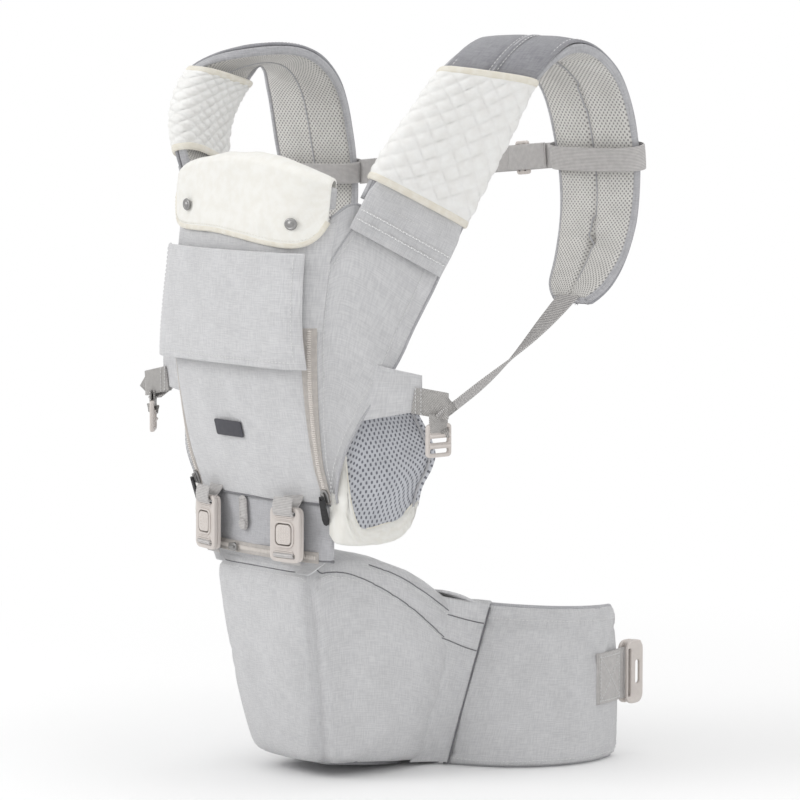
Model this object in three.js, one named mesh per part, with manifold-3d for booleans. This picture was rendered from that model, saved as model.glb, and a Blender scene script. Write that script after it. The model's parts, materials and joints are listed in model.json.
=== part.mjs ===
// Soft baby carrier with a hip seat: a foam seat on a padded waist belt, a front panel that stands on the
// seat, and two shoulder straps. Millimetres, +Z up. The panel's outside faces -Y, the wearer stands inside
// the belt, and the origin is the middle of the footprint, on the floor. While it is built, x = y = 0 is the
// centre of the belt's ring.
import * as THREE from "three";
import { mergeVertices } from "three/addons/utils/BufferGeometryUtils.js";
import Module from "manifold-3d";

const wasm = await Module();
wasm.setup();

// ---------------------------------------------------------------- driving dimensions
const GAP = 0.8; // between two soft layers that lie on each other

const BELT = { halfX: 150, halfY: 120, thick: 14, wall: 3, seamTop: 163, endTop: 152 };
const BELT_ANGLE = { seamFoot: -66, seamTop: -48, end: 22 }; // degrees round the ring, 0 at +X
const SEAT = { top: 214, frontY: -300, footY: -264, toe: 12, wall: 4, clear: 9, board: 5, base: 5.6 };
const PANEL = { foot: 279, top: 549, zipX: 100, fabric: 3, padding: 9 };
const BAND = { foot: 222, top: 276, halfX: 103 };
const FLAP = { foot: 413, top: 519, halfX: 100, thick: 4 };
const HEAD = { foot: 557, top: 605, halfX: 113, shift: 8, thick: 16 };
const STRAP = { core: 11, skin: 2.4 };
const WEBBING = { wide: 25, thick: 1.6 };
const WAIST_WEB = { z: 84, wide: 52, patch: 30, rightRunOn: 12, leftRunOn: 74, turnOut: 18 };
const ZIP_WIDE = 12;
const BUCKLE = { wide: 38, tall: 54, thick: 9, x: 60, z: 248, out: 14 };
const SPLAY = 25; // degrees that the left half of the belt stands open

// ---------------------------------------------------------------- materials
const fabric = new THREE.MeshStandardMaterial({ color: 0xc4c4c6, roughness: 0.95 });
const darkFabric = new THREE.MeshStandardMaterial({ color: 0x96969b, roughness: 0.95 });
const cotton = new THREE.MeshStandardMaterial({ color: 0xf4f1e8, roughness: 0.9 });
const spacerMesh = new THREE.MeshStandardMaterial({ color: 0xb6b6b5, roughness: 1 });
const webbing = new THREE.MeshStandardMaterial({ color: 0xb4b2b1, roughness: 0.85 });
const zipTape = new THREE.MeshStandardMaterial({ color: 0xd4cdc7, roughness: 0.9 });
const plastic = new THREE.MeshStandardMaterial({ color: 0xc6bfba, roughness: 0.45 });
const steel = new THREE.MeshStandardMaterial({ color: 0x8c8c90, roughness: 0.25, metalness: 1 });
const blackRubber = new THREE.MeshStandardMaterial({ color: 0x1c1c1e, roughness: 0.6 });
const label = new THREE.MeshStandardMaterial({ color: 0x3a3a3e, roughness: 0.7 });
const snapPlastic = new THREE.MeshStandardMaterial({ color: 0xd9c4bf, roughness: 0.4 });
const foam = new THREE.MeshStandardMaterial({ color: 0xe6e2d2, roughness: 1 });

// ---------------------------------------------------------------- helpers
const { lerp, degToRad, clamp, smoothstep } = THREE.MathUtils;
const vec = (x, y, z) => new THREE.Vector3(x, y, z);

const carrier = new THREE.Group();

function add(name, geometry, material, parent = carrier) {
  const mesh = new THREE.Mesh(geometry, material);
  mesh.name = name;
  parent.add(mesh);
  return mesh;
}

// A smooth function through [t, value] points, level beyond its ends.
function through(points) {
  const last = points.length - 1;
  const slope = (a, b) => (points[b][1] - points[a][1]) / (points[b][0] - points[a][0]);
  return (t) => {
    if (t <= points[0][0]) return points[0][1];
    if (t >= points[last][0]) return points[last][1];
    let i = 0;
    while (t > points[i + 1][0]) i += 1;
    const span = points[i + 1][0] - points[i][0];
    const s = (t - points[i][0]) / span;
    const startSlope = slope(Math.max(i - 1, 0), i + 1) * span;
    const endSlope = slope(i, Math.min(i + 2, last)) * span;
    const [a, b] = [points[i][1], points[i + 1][1]];
    return a + s * (startSlope + s * (3 * (b - a) - 2 * startSlope - endSlope
      + s * (2 * (a - b) + startSlope + endSlope)));
  };
}

// A box of nu x nv x nw cells whose corners go where place(u, v, w) puts them, each of u, v, w from 0 to 1.
function block(nu, nv, nw, place) {
  const geometry = new THREE.BoxGeometry(1, 1, 1, nu, nv, nw);
  geometry.deleteAttribute("normal");
  geometry.deleteAttribute("uv");
  const box = mergeVertices(geometry);
  const position = box.getAttribute("position");
  for (let i = 0; i < position.count; i += 1) {
    const p = place(position.getX(i) + 0.5, position.getY(i) + 0.5, position.getZ(i) + 0.5);
    position.setXYZ(i, p.x, p.y, p.z);
  }
  if (volumeOf(box) < 0) flip(box);
  return box;
}

function volumeOf(geometry) {
  const { index } = geometry;
  const position = geometry.getAttribute("position");
  const [a, b, c] = [vec(), vec(), vec()];
  let volume = 0;
  for (let i = 0; i < index.count; i += 3) {
    a.fromBufferAttribute(position, index.getX(i));
    b.fromBufferAttribute(position, index.getX(i + 1));
    c.fromBufferAttribute(position, index.getX(i + 2));
    volume += a.dot(b.cross(c)) / 6;
  }
  return volume;
}

function flip(geometry) {
  const { array } = geometry.index;
  for (let i = 0; i < array.length; i += 3) [array[i], array[i + 1]] = [array[i + 1], array[i]];
}

function solid(geometry) {
  const bare = geometry.clone();
  bare.deleteAttribute("normal");
  bare.deleteAttribute("uv");
  const merged = mergeVertices(bare, 1e-4);
  const triVerts = new Uint32Array(merged.index.array);
  return new wasm.Manifold(new wasm.Mesh({
    numProp: 3, vertProperties: merged.getAttribute("position").array, triVerts,
  }));
}

function geometryOf(manifold) {
  const mesh = manifold.getMesh();
  const geometry = new THREE.BufferGeometry();
  geometry.setAttribute("position", new THREE.BufferAttribute(new Float32Array(mesh.vertProperties), 3));
  geometry.setIndex(new THREE.BufferAttribute(new Uint32Array(mesh.triVerts), 1));
  return geometry;
}

function cut(whole, ...tools) {
  return geometryOf(tools.reduce((left, tool) => left.subtract(solid(tool)), solid(whole)));
}

function join(first, ...rest) {
  return geometryOf(rest.reduce((sum, piece) => sum.add(solid(piece)), solid(first)));
}

// A box of a size, centred at x, y, z.
function boxAt(wide, deep, tall, x = 0, y = 0, z = 0) {
  return new THREE.BoxGeometry(wide, deep, tall).translate(x, y, z);
}

// A group on a surface, whose X runs `across` it, -Y points out of it and Z runs about `up` it.
function facing(across, up, at, out) {
  const x = across.clone().normalize();
  const inward = up.clone().cross(x).normalize();
  const group = new THREE.Group();
  group.matrixAutoUpdate = false;
  group.matrix.makeBasis(x, inward, x.clone().cross(inward));
  group.matrix.setPosition(at.clone().addScaledVector(inward, -out));
  carrier.add(group);
  return group;
}

// A plate in the XZ plane with rounded corners, its middle at the origin, `thick` deep in Y.
function roundedPlate(wide, tall, radius, thick, arc = 3) {
  const shape = new THREE.Shape();
  const [x, z] = [wide / 2 - radius, tall / 2 - radius];
  shape.absarc(x, z, radius, 0, Math.PI / 2);
  shape.absarc(-x, z, radius, Math.PI / 2, Math.PI);
  shape.absarc(-x, -z, radius, Math.PI, Math.PI * 1.5);
  shape.absarc(x, -z, radius, Math.PI * 1.5, Math.PI * 2);
  return new THREE.ExtrudeGeometry(shape, { depth: thick, bevelEnabled: false, curveSegments: arc })
    .translate(0, 0, -thick / 2).rotateX(Math.PI / 2);
}

// ---------------------------------------------------------------- the waist belt's ring
// A point on the belt's middle line at an angle in degrees, moved out by `out`.
function beltPoint(angle, out, z) {
  const a = degToRad(angle);
  const normal = vec(Math.cos(a) / BELT.halfX, Math.sin(a) / BELT.halfY, 0).normalize();
  return vec(BELT.halfX * Math.cos(a), BELT.halfY * Math.sin(a), z).addScaledVector(normal, out);
}

// The angle of the slanted seam between the seat and a belt half, at a share w of the belt's height.
const seamAngle = (w) => lerp(BELT_ANGLE.seamFoot, BELT_ANGLE.seamTop, w);

// ---------------------------------------------------------------- the panel's surface
const panelMiddleY = through([[215, -299], [276, -300], [319, -315], [371, -329], [413, -337], [450, -339],
  [519, -333], [570, -326], [617, -320]]);
const panelHalfWidth = through([[279, 107], [319, 122], [371, 136], [450, 151], [516, 160], [570, 160]]);

function panelSurface(x, z) {
  const wrap = 0.0172 * smoothstep(z, 275, 430);
  const side = Math.max(0, Math.abs(x) - 80);
  return vec(x, panelMiddleY(z) + x * x * 0.0013 + wrap * side * side, z);
}

// A point of the panel's outside at x, z, moved out along the surface's normal.
function panelPoint(x, z, out = 0) {
  const step = 0.5;
  const alongX = panelSurface(x + step, z).sub(panelSurface(x - step, z));
  const alongZ = panelSurface(x, z + step).sub(panelSurface(x, z - step));
  return panelSurface(x, z).addScaledVector(alongX.cross(alongZ).normalize(), out);
}

function onPanel(x, z, out) {
  const step = 0.5;
  const across = panelSurface(x + step, z).sub(panelSurface(x - step, z));
  return facing(across, panelSurface(x, z + step).sub(panelSurface(x, z - step)), panelSurface(x, z), out);
}

// ---------------------------------------------------------------- hip seat
// Half of the seat's width at a depth v from its front (0) to the belt (1), and its top there.
const seatHalfWidth = through([[0, 66], [0.25, 84], [0.6, 96], [1, 92]]);
const seatTop = through([[0, 213], [0.1, 220], [0.25, 224], [0.42, 218], [0.6, 205], [0.78, 187], [1, 164]]);
const seatFoot = (v) => SEAT.toe * (1 - v);

// A point of the seat: u across, v from front to belt, w the share of its height, pulled in by `inset`.
function seatPoint(u, v, w, inset) {
  const height = clamp(w, 0, 1);
  const front = lerp(SEAT.footY, SEAT.frontY, Math.pow(height, 0.8)) + inset;
  const across = (u - 0.5) * 2;
  const corner = Math.pow(Math.abs(across), 4) * 14 * (1 - v);
  const bulge = 1 + 0.05 * Math.sin(Math.PI * height) - (0.06 + 0.34 * v * v) * (1 - height);
  const x = across * (seatHalfWidth(v) * bulge - inset);
  // The back follows the belt's curve, so that the seat lies against it.
  const lean = SEAT.clear + inset;
  const rear = -(BELT.halfY + lean) * Math.sqrt(1 - (x / (BELT.halfX + lean)) ** 2);
  const z = lerp(seatFoot(v), seatTop(v) - inset, w);
  return vec(x, lerp(front, rear, v) + corner, z);
}

function makeSeat() {
  const share = (z) => z / SEAT.top;
  const body = (inset, low, high) => block(6, 5, 3, (u, v, w) => seatPoint(u, v, lerp(low, high, w), inset));
  // The cover is open below, where the base closes it.
  add("seat_cover", cut(body(0, share(SEAT.base), 1), body(SEAT.wall, -0.1, 1)), fabric);
  const inner = SEAT.wall + GAP;
  add("seat_foam", body(inner + GAP, share(SEAT.base + 3), 1 - share(SEAT.board + 9)), foam);
  // A stiff board lies on the foam, under the front of the seat's top.
  add("seat_board", block(4, 4, 1, (u, v, w) => {
    const p = seatPoint(lerp(0.06, 0.94, u), lerp(0.1, 0.6, v), 1, inner + 1);
    return p.setZ(p.z - 1 - SEAT.board * (1 - w));
  }), blackRubber);
  add("seat_base", block(6, 5, 1, (u, v, w) => {
    const p = seatPoint(u, v, 0, inner);
    return p.setZ(p.z + w * (SEAT.base - 0.5));
  }), darkFabric);
  const spot = { u: 0.43, w: 0.76, step: 0.04, out: 2.4 };
  const at = (du, dw) => seatPoint(spot.u + du, 0, spot.w + dw, 0);
  const across = at(spot.step, 0).sub(at(-spot.step, 0));
  const front = facing(across, at(0, spot.step).sub(at(0, -spot.step)), at(0, 0), spot.out);
  add("seat_label", roundedPlate(42, 13, 1.5, 1), label, front);
}

// The part of the belt that the seat is sewn to, with the pad that rests on the wearer's front.
function makeBeltFront() {
  const clear = 2;
  const topAt = (u) => BELT.seamTop + 3 * Math.sin(Math.PI * u);
  add("tummy_pad", block(10, 1, 2, (u, v, w) => {
    const angle = lerp(-180 - seamAngle(w) + clear, seamAngle(w) - clear, u);
    return beltPoint(angle, lerp(-0.5, 0.5, v) * BELT.thick * 0.9 - 1, lerp(0.6, topAt(u), w));
  }), darkFabric);
}

// ---------------------------------------------------------------- waist belt halves
// The upright line through the middle of the right half's slanted seam, which it swings about.
const beltHinge = beltPoint(seamAngle(0.5), 0, 0);

// One half of the belt, built for the right side. side -1 mirrors it, and splay turns it open about its seam.
function makeBelt(side, word, splay) {
  const to = BELT_ANGLE.end;
  const half = BELT.thick / 2;
  const topAt = (u) => lerp(BELT.seamTop, BELT.endTop, u);
  const rounded = (u, w) => 1 - 0.45 * Math.pow(Math.abs(w - 0.5) * 2, 4) - 0.35 * smoothstep(u, 0.85, 1);
  const swing = (p) => {
    p.sub(beltHinge).applyAxisAngle(vec(0, 0, 1), degToRad(-splay)).add(beltHinge);
    return vec(p.x * side, p.y, p.z);
  };
  const place = (angle, out, z) => swing(beltPoint(angle, out, z));
  const { wall } = BELT;
  const outer = block(8, 1, 3, (u, v, w) => place(lerp(seamAngle(w) + 0.8, to, u),
    lerp(-half, half, v) * rounded(u, w), lerp(0.6, topAt(u), w)));
  const inner = block(8, 1, 3, (u, v, w) => place(lerp(seamAngle(w) - 2, to - 2, u),
    lerp(-half + wall, half - wall, v) * rounded(u, w) * 0.95, lerp(4, topAt(u) - wall, w)));
  add(`belt_cover_${word}`, cut(outer, inner), fabric);
  const foamHalf = half - wall - GAP;
  add(`belt_foam_${word}`, block(8, 1, 3, (u, v, w) => place(lerp(seamAngle(w) + 1.2, to - 3, u),
    lerp(-foamHalf, foamHalf, v) * rounded(u, w) * 0.76, lerp(5, topAt(u) - wall - 1, w))), foam);

  // The webbing is sewn on the outside, runs off the belt's end and carries the buckle.
  const lift = half + 1.4;
  const runOn = side > 0 ? WAIST_WEB.rightRunOn : WAIST_WEB.leftRunOn;
  const endPoint = beltPoint(to, lift, 0);
  const endWay = beltPoint(to + 1, half, 0).sub(beltPoint(to, half, 0)).setZ(0).normalize()
    .applyAxisAngle(vec(0, 0, 1), degToRad(-WAIST_WEB.turnOut));
  const alongWeb = (t, out, z) => {
    const { patch } = WAIST_WEB;
    if (t < patch) return place(lerp(to - 11, to, t / patch), lift + out, z);
    const normal = vec(endWay.y, -endWay.x, 0);
    return swing(endPoint.clone().addScaledVector(endWay, t - patch).addScaledVector(normal, out).setZ(z));
  };
  const length = WAIST_WEB.patch + runOn;
  const webZ = WAIST_WEB.z;
  add(`belt_webbing_${word}`, block(8, 1, 1, (u, v, w) => alongWeb(u * length, v * WEBBING.thick,
    webZ + (w - 0.5) * WAIST_WEB.wide)), webbing);

  // The buckle's frame: X runs on along the webbing and Z is up it.
  const middle = WEBBING.thick / 2;
  const along = alongWeb(length + 5, middle, webZ).sub(alongWeb(length - 5, middle, webZ)).normalize();
  const up = alongWeb(length, middle, webZ + 5).sub(alongWeb(length, middle, webZ - 5)).normalize();
  const buckle = new THREE.Group();
  buckle.matrixAutoUpdate = false;
  buckle.matrix.makeBasis(along, up.clone().cross(along), up);
  buckle.matrix.setPosition(alongWeb(length + (side > 0 ? 8 : -8), middle, webZ));
  carrier.add(buckle);
  return buckle;
}

function makeWaistBuckles() {
  const tall = WAIST_WEB.wide + 12;
  const socket = makeBelt(1, "right", 0);
  const shell = roundedPlate(26, tall, 9, 13, 4);
  const mouth = boxAt(30, 8, tall - 16, 6, 0, 0);
  const barSlot = boxAt(5, 20, tall - 10, -8.4, 0, 0);
  const channel = boxAt(10, WEBBING.thick + 2, tall - 10, -12, 0, 0);
  add("waist_buckle_socket", cut(shell, mouth, barSlot, channel), plastic, socket);

  const clip = makeBelt(-1, "left", SPLAY);
  const plate = roundedPlate(24, tall, 6, 11, 4);
  const slot = boxAt(30, WEBBING.thick + 4.6, tall - 10.5);
  const prongs = [-1, 1].map((way) => boxAt(24, 5, 9, 22, 0, way * (tall / 2 - 6)));
  const clipBody = join(geometryOf(solid(plate).subtract(solid(slot))), ...prongs);
  add("waist_buckle_clip", clipBody, plastic, clip);
}

// ---------------------------------------------------------------- front panel
const zipXAt = (z) => PANEL.zipX + 0.03 * (z - PANEL.foot);

// A sheet that lies on the panel's surface, between two depths below its outside.
function panelSheet(nu, nv, xAt, zAt, top, bottom) {
  return block(nu, nv, 1, (u, v, w) => {
    const z = zAt(u, v);
    return panelPoint(xAt(u, z), z, lerp(bottom, top, w));
  });
}

function makePanel() {
  const { foot, top } = PANEL;
  const level = (u, v) => lerp(foot, top, v);
  add("panel_front", panelSheet(8, 8, (u, z) => lerp(-1, 1, u) * (zipXAt(z) - ZIP_WIDE / 2 - 0.4), level,
    0, -PANEL.fabric), fabric);
  // The lining is a thick spacer mesh with its foam bonded on, so it is one padded piece.
  const liningTop = -PANEL.fabric - 2;
  add("panel_lining", panelSheet(10, 8, (u, z) => lerp(-1, 1, u) * Math.min(panelHalfWidth(z) - 9, 130),
    (u, v) => lerp(foot, top - 14, v), liningTop, liningTop - PANEL.padding), spacerMesh);
  add("panel_band", panelSheet(8, 2, (u) => lerp(-1, 1, u) * BAND.halfX,
    (u, v) => lerp(BAND.foot + 1, BAND.top + 2.2, v), -1, -5), fabric);
  for (const [side, word] of [[1, "right"], [-1, "left"]]) {
    // The side panel rises to the shoulder strap's seam.
    const seamTop = through([[0, 553], [0.28, 566], [1, 512]]);
    add(`panel_side_${word}`, panelSheet(4, 8, (u, z) => side * lerp(zipXAt(z) + ZIP_WIDE / 2 + 0.4,
      panelHalfWidth(z), u), (u, v) => lerp(foot, seamTop(u), v), 0, -PANEL.fabric), fabric);
    add(`zip_tape_${word}`, panelSheet(1, 8, (u, z) => side * (zipXAt(z) + lerp(-1, 1, u) * ZIP_WIDE / 2),
      level, -0.2, -PANEL.fabric + 0.4), zipTape);
  }
  const labelFrame = onPanel(-5, 347, 0.9);
  add("panel_label", roundedPlate(42, 16, 1.5, 1), label, labelFrame);

  // The pocket is a shallow bag on the panel, under the flap.
  add("pocket_bag", panelSheet(8, 4, (u) => lerp(-1, 1, u) * (FLAP.halfX - 12),
    (u, v) => lerp(FLAP.foot + 10, FLAP.top - 26, v), 3.2, 1.1), fabric);
}

function makeFlap() {
  const lift = 6.4;
  add("pocket_flap", panelSheet(8, 4, (u) => lerp(-1, 1, u) * FLAP.halfX,
    (u, v) => lerp(FLAP.foot, FLAP.top, v), lift + FLAP.thick, lift), fabric);
}

// ---------------------------------------------------------------- head support and its bib
const headTop = (x) => HEAD.top + 2 - 18 * Math.pow(Math.abs(x) / HEAD.halfX, 2.6);
const bibFoot = (x) => 537 + 34 * Math.pow(Math.abs(x) / HEAD.halfX, 6);

// A point of the head support, x counted from its own middle, which sits a little to the right.
function headPoint(x, z, out) {
  const side = Math.max(0, Math.abs(x + HEAD.shift) - 80);
  const y = panelMiddleY(z) + 0.0013 * (x + HEAD.shift) ** 2 + 0.006 * side * side;
  const slope = 0.0026 * (x + HEAD.shift) + 0.012 * side * Math.sign(x + HEAD.shift);
  const normal = vec(slope, -1, 0).normalize();
  return vec(x + HEAD.shift, y, z).addScaledVector(normal, out);
}

function makeHeadSupport() {
  const { foot, halfX, thick } = HEAD;
  add("head_support_pad", block(8, 3, 2, (u, v, w) => {
    const x = lerp(-halfX, halfX, u);
    const z = lerp(foot + 9 * Math.pow(x / halfX, 4), headTop(x) - 3.2, v);
    const plump = 1 - 0.5 * Math.pow(v, 6);
    return headPoint(x, z, -4.6 - thick * (0.5 + (0.5 - w) * plump));
  }), fabric);
  // The bib is one cloth folded over the top edge: outside, over, and down the back.
  const half = halfX - 1;
  add("bib", block(8, 10, 1, (u, v, w) => {
    const x = lerp(-half, half, u);
    const over = lerp(1.8, 4.4, w);
    const backFoot = foot + 22;
    const top = headTop(x);
    if (v <= 0.5) return headPoint(x, lerp(bibFoot(x), top - 4, v * 2), over - 1);
    const turn = clamp((v - 0.5) / 0.3, 0, 1);
    const arc = Math.PI * turn;
    const radius = thick / 2 + 3.4 + over;
    const middle = -4.6 - thick / 2;
    if (v <= 0.8) {
      const rise = Math.sin(arc) * (5 + over);
      return headPoint(x, top - 4 + rise, middle + Math.cos(arc) * (radius + 0.4));
    }
    return headPoint(x, lerp(top - 4, backFoot, (v - 0.8) / 0.2), middle - radius - 0.4);
  }), cotton);
  for (const [x, word] of [[-86, "left"], [74, "right"]]) {
    const snap = new THREE.Group();
    snap.position.copy(headPoint(x, 560, 6.6));
    snap.rotation.z = Math.atan2(headPoint(x + 1, 560, 0).y - headPoint(x - 1, 560, 0).y, 2);
    carrier.add(snap);
    add(`bib_snap_${word}`, new THREE.CylinderGeometry(6.5, 7, 3, 12), steel, snap);
  }
}

// ---------------------------------------------------------------- shoulder straps
// Each strap is a path of stations: middle, width direction and width. The two hang a little differently.
const RIGHT_STRAP = [
  { at: [143, -229, 541], wide: [0.36, 0.8, -0.48], width: 100 },
  { at: [152, -206, 588], wide: [0.38, 0.8, -0.44], width: 98 },
  { at: [166, -178, 640], wide: [0.45, 0.8, -0.3], width: 92 },
  { at: [177, -152, 686], wide: [0.55, 0.8, -0.14], width: 88 },
  { at: [186, -116, 712], wide: [0.72, 0.66, -0.05], width: 86 },
  { at: [192, -80, 706], wide: [0.86, 0.48, 0], width: 86 },
  { at: [196, -48, 674], wide: [0.93, 0.35, 0], width: 86 },
  { at: [197, -30, 616], wide: [0.95, 0.3, 0], width: 86 },
  { at: [196, -26, 560], wide: [0.95, 0.3, 0], width: 80 },
  { at: [195, -36, 512], wide: [0.96, 0.26, 0], width: 74 },
  { at: [194, -60, 470], wide: [0.97, 0.24, 0], width: 56 },
];
const LEFT_STRAP = [
  { at: [-143, -229, 541], wide: [-0.36, 0.8, -0.48], width: 100 },
  { at: [-146, -248, 590], wide: [-0.44, 0.84, -0.3], width: 90 },
  { at: [-152, -246, 640], wide: [-0.36, 0.9, -0.2], width: 86 },
  { at: [-162, -214, 681], wide: [-0.3, 0.93, -0.2], width: 84 },
  { at: [-175, -162, 704], wide: [-0.72, 0.68, -0.1], width: 84 },
  { at: [-184, -112, 700], wide: [-0.99, 0.12, -0.03], width: 86 },
  { at: [-190, -84, 668], wide: [-0.94, -0.3, 0], width: 87 },
  { at: [-191, -70, 612], wide: [-0.92, -0.38, 0], width: 87 },
  { at: [-191, -62, 560], wide: [-0.92, -0.38, 0], width: 82 },
  { at: [-190, -66, 512], wide: [-0.94, -0.34, 0], width: 74 },
  { at: [-189, -84, 470], wide: [-0.95, -0.3, 0], width: 56 },
];

// The strap's frame at s from 0 (seam) to 1 (tip). `out` points away from the wearer's body.
function strapFrame(stations) {
  const knots = stations.map((_, i) => i / (stations.length - 1));
  const track = (pick) => through(knots.map((k, i) => [k, pick(stations[i])]));
  const at = [0, 1, 2].map((axis) => track((station) => station.at[axis]));
  const wide = [0, 1, 2].map((axis) => track((station) => station.wide[axis]));
  const width = track((station) => station.width);
  const middle = (s) => vec(...at.map((f) => f(s)));
  const mirrored = stations[0].at[0] < 0 ? -1 : 1;
  return (s, across, out) => {
    const along = middle(clamp(s + 0.01, 0, 1)).sub(middle(clamp(s - 0.01, 0, 1))).normalize();
    const side = vec(...wide.map((f) => f(s))).normalize();
    const outward = along.clone().cross(side).normalize().multiplyScalar(-mirrored);
    return middle(s).addScaledVector(side, across * width(s) / 2).addScaledVector(outward, out);
  };
}

function makeStrap(stations, word) {
  const frame = strapFrame(stations);
  const edge = (u) => 1 - 0.55 * Math.pow(Math.abs(u - 0.5) * 2, 3);
  const half = STRAP.core / 2;
  // A layer the whole length of the strap, between two heights over its middle surface.
  const layer = (low, high) => block(4, 24, 1, (u, v, w) => frame(lerp(0.022, 1, v), (u - 0.5) * 2,
    lerp(low(u), high(u), w)));
  const face = (u) => half * edge(u);
  const gap = 3.6; // between the two layers, which lets the twisted strap's flat facets clear each other
  add(`strap_outer_${word}`, layer((u) => face(u) + gap, (u) => face(u) + gap + STRAP.skin), darkFabric);
  // The wearer's side is spacer mesh with the strap's foam bonded on.
  add(`strap_lining_${word}`, layer((u) => -face(u) - STRAP.skin, face), spacerMesh);
  const coverHalf = half + gap + STRAP.skin + 3.4;
  const sleeve = (grow, thick, from, to) => block(4, 12, 1, (u, v, w) => {
    const s = lerp(from, to, v);
    return frame(s, (u - 0.5) * 2 * grow, lerp(-thick, thick, w) * (0.3 + 0.7 * edge(u)));
  });
  const cover = cut(sleeve(1.1, coverHalf + 3.4, 0.06, 0.31), sleeve(1.03, coverHalf, 0.04, 0.33));
  add(`strap_cover_${word}`, cover, cotton);
  return frame;
}

// The narrow webbing from a strap's tip down to the buckle on the panel's wing.
function makeAdjuster(frame, word, foot) {
  const top = frame(1, 0, 0);
  const way = foot.clone().sub(top);
  const along = way.clone().normalize();
  const side = vec(0.9 * Math.sign(top.x), 0.42, 0);
  side.addScaledVector(along, -side.dot(along)).normalize();
  const normal = along.clone().cross(side);
  add(`strap_adjuster_${word}`, block(1, 1, 1, (u, v, w) => top.clone()
    .addScaledVector(way, lerp(0.06, 0.84, v))
    .addScaledVector(side, (u - 0.5) * WEBBING.wide)
    .addScaledVector(normal, (w - 0.5) * WEBBING.thick)), webbing);
}

// ---------------------------------------------------------------- chest strap
function makeChestStrap({ right, left }) {
  const [rightAt, leftAt] = [0.715, 0.76];
  const band = 13;
  // A loop of webbing round each shoulder strap, clear of it so that it slides.
  const loop = (frame, s0) => {
    const depth = STRAP.core / 2 + 2 + STRAP.skin;
    const perMm = 0.0017; // of the strap's length
    const ring = (grow, thick, tall) => block(4, 2, 1, (u, v, w) => {
      const across = (u - 0.5) * 2;
      const thin = 1 - 0.3 * Math.pow(Math.abs(across), 3);
      return frame(s0 + (v - 0.5) * 2 * tall * perMm, across * grow, lerp(-thick, thick, w) * thin);
    });
    return cut(ring(1.18, depth + 6.4, band), ring(1.12, depth + 4.4, band + 4));
  };
  const start = right(rightAt, -1.15, 0);
  const end = left(leftAt, -1.15, 0);
  const point = (t, drop, out) => start.clone().lerp(end, t)
    .add(vec(0, -6 * Math.sin(Math.PI * t) + out, drop));
  const strip = block(8, 1, 1, (u, v, w) => point(u, lerp(-band, band, v) * 0.96,
    lerp(-WEBBING.thick, WEBBING.thick, w) / 2));
  add("chest_webbing", join(strip, loop(right, rightAt), loop(left, leftAt)), webbing);
  const mount = (t) => {
    const group = new THREE.Group();
    group.matrixAutoUpdate = false;
    const along = point(t - 0.02, 0, 0).sub(point(t + 0.02, 0, 0)).normalize();
    const inward = vec(0, 0, 1).cross(along).normalize();
    group.matrix.makeBasis(along, inward, along.clone().cross(inward)).setPosition(point(t, 0, 0));
    carrier.add(group);
    return group;
  };
  const window = boxAt(60, WEBBING.thick + 3, 2 * band + 4);
  add("chest_slider", cut(roundedPlate(16, 2 * band + 8, 3, 8), window), plastic, mount(0.14));
  add("chest_buckle", cut(roundedPlate(42, 2 * band + 9, 6, 12), window), plastic, mount(0.62));
}

// ---------------------------------------------------------------- side wings, side buckles, leg openings
function wingPath(side) {
  // From the panel's edge out to the fold where the side buckle hangs. The left one stands out straighter.
  const edge = panelPoint(side * 136, 388, -1.5);
  const tip = side > 0 ? vec(179, -224, 378) : vec(-196, -270, 374);
  return { edge, tip, way: tip.clone().sub(edge) };
}

function makeWing(side, word) {
  const { edge, way } = wingPath(side);
  const along = way.clone().normalize();
  const normal = along.clone().cross(vec(0, 0, 1)).normalize().multiplyScalar(side);
  const strip = (from, to, highAt, lowAt, thick, n) => block(n, 1, 1, (u, v, w) => {
    const t = lerp(from, to, u);
    return edge.clone().addScaledVector(way, t).addScaledVector(normal, (w - 0.5) * thick)
      .add(vec(0, 0, lerp(lowAt(t), highAt(t), v)));
  });
  // A fabric tab that ends in a doubled length of webbing sewn to it.
  const tab = strip(0.16, 0.8, (t) => lerp(26, 15, t), (t) => lerp(-24, -15, t), 4, 4);
  add(`wing_${word}`, join(tab, strip(0.7, 1.26, () => 13, () => -13, 2 * WEBBING.thick, 2)), fabric);
}

function sideBuckleFrame(side) {
  const { edge, way } = wingPath(side);
  const group = new THREE.Group();
  const at = edge.clone().addScaledVector(way, 1.04);
  group.position.set(at.x, at.y, at.z - 34);
  group.rotation.z = Math.atan2(way.y, way.x);
  carrier.add(group);
  return group;
}

function makeSideBuckle(side, word) {
  const group = sideBuckleFrame(side);
  const frame = roundedPlate(32, 34, 3, 6);
  const slots = [-10, 0, 10].map((z) => boxAt(26, 20, 4, 0, 0, z));
  add(`side_buckle_${word}`, cut(frame, ...slots), plastic, group);
}

// The leg opening: a mesh liner that curves back from the panel's lower side, and a padded rim under it.
function legPoint(side, s, z, out) {
  const path = through([[0, 113], [0.4, 130], [1, 147]]);
  const depth = through([[0, -286], [0.4, -250], [1, -196]]);
  const step = 0.01;
  const p = vec(path(s), depth(s), z);
  const way = vec(path(s + step) - path(s - step), depth(s + step) - depth(s - step), 0).normalize();
  p.addScaledVector(vec(way.y, -way.x, 0), out);
  return vec(p.x * side, p.y, p.z);
}
const linerTop = through([[0.2, 330], [0.5, 362], [1, 360]]);
const linerFoot = through([[0, 274], [0.35, 266], [0.7, 272], [1, 306]]);
const padFoot = through([[0, 248], [0.2, 240], [0.55, 238], [0.85, 256], [1, 282]]);

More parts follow.
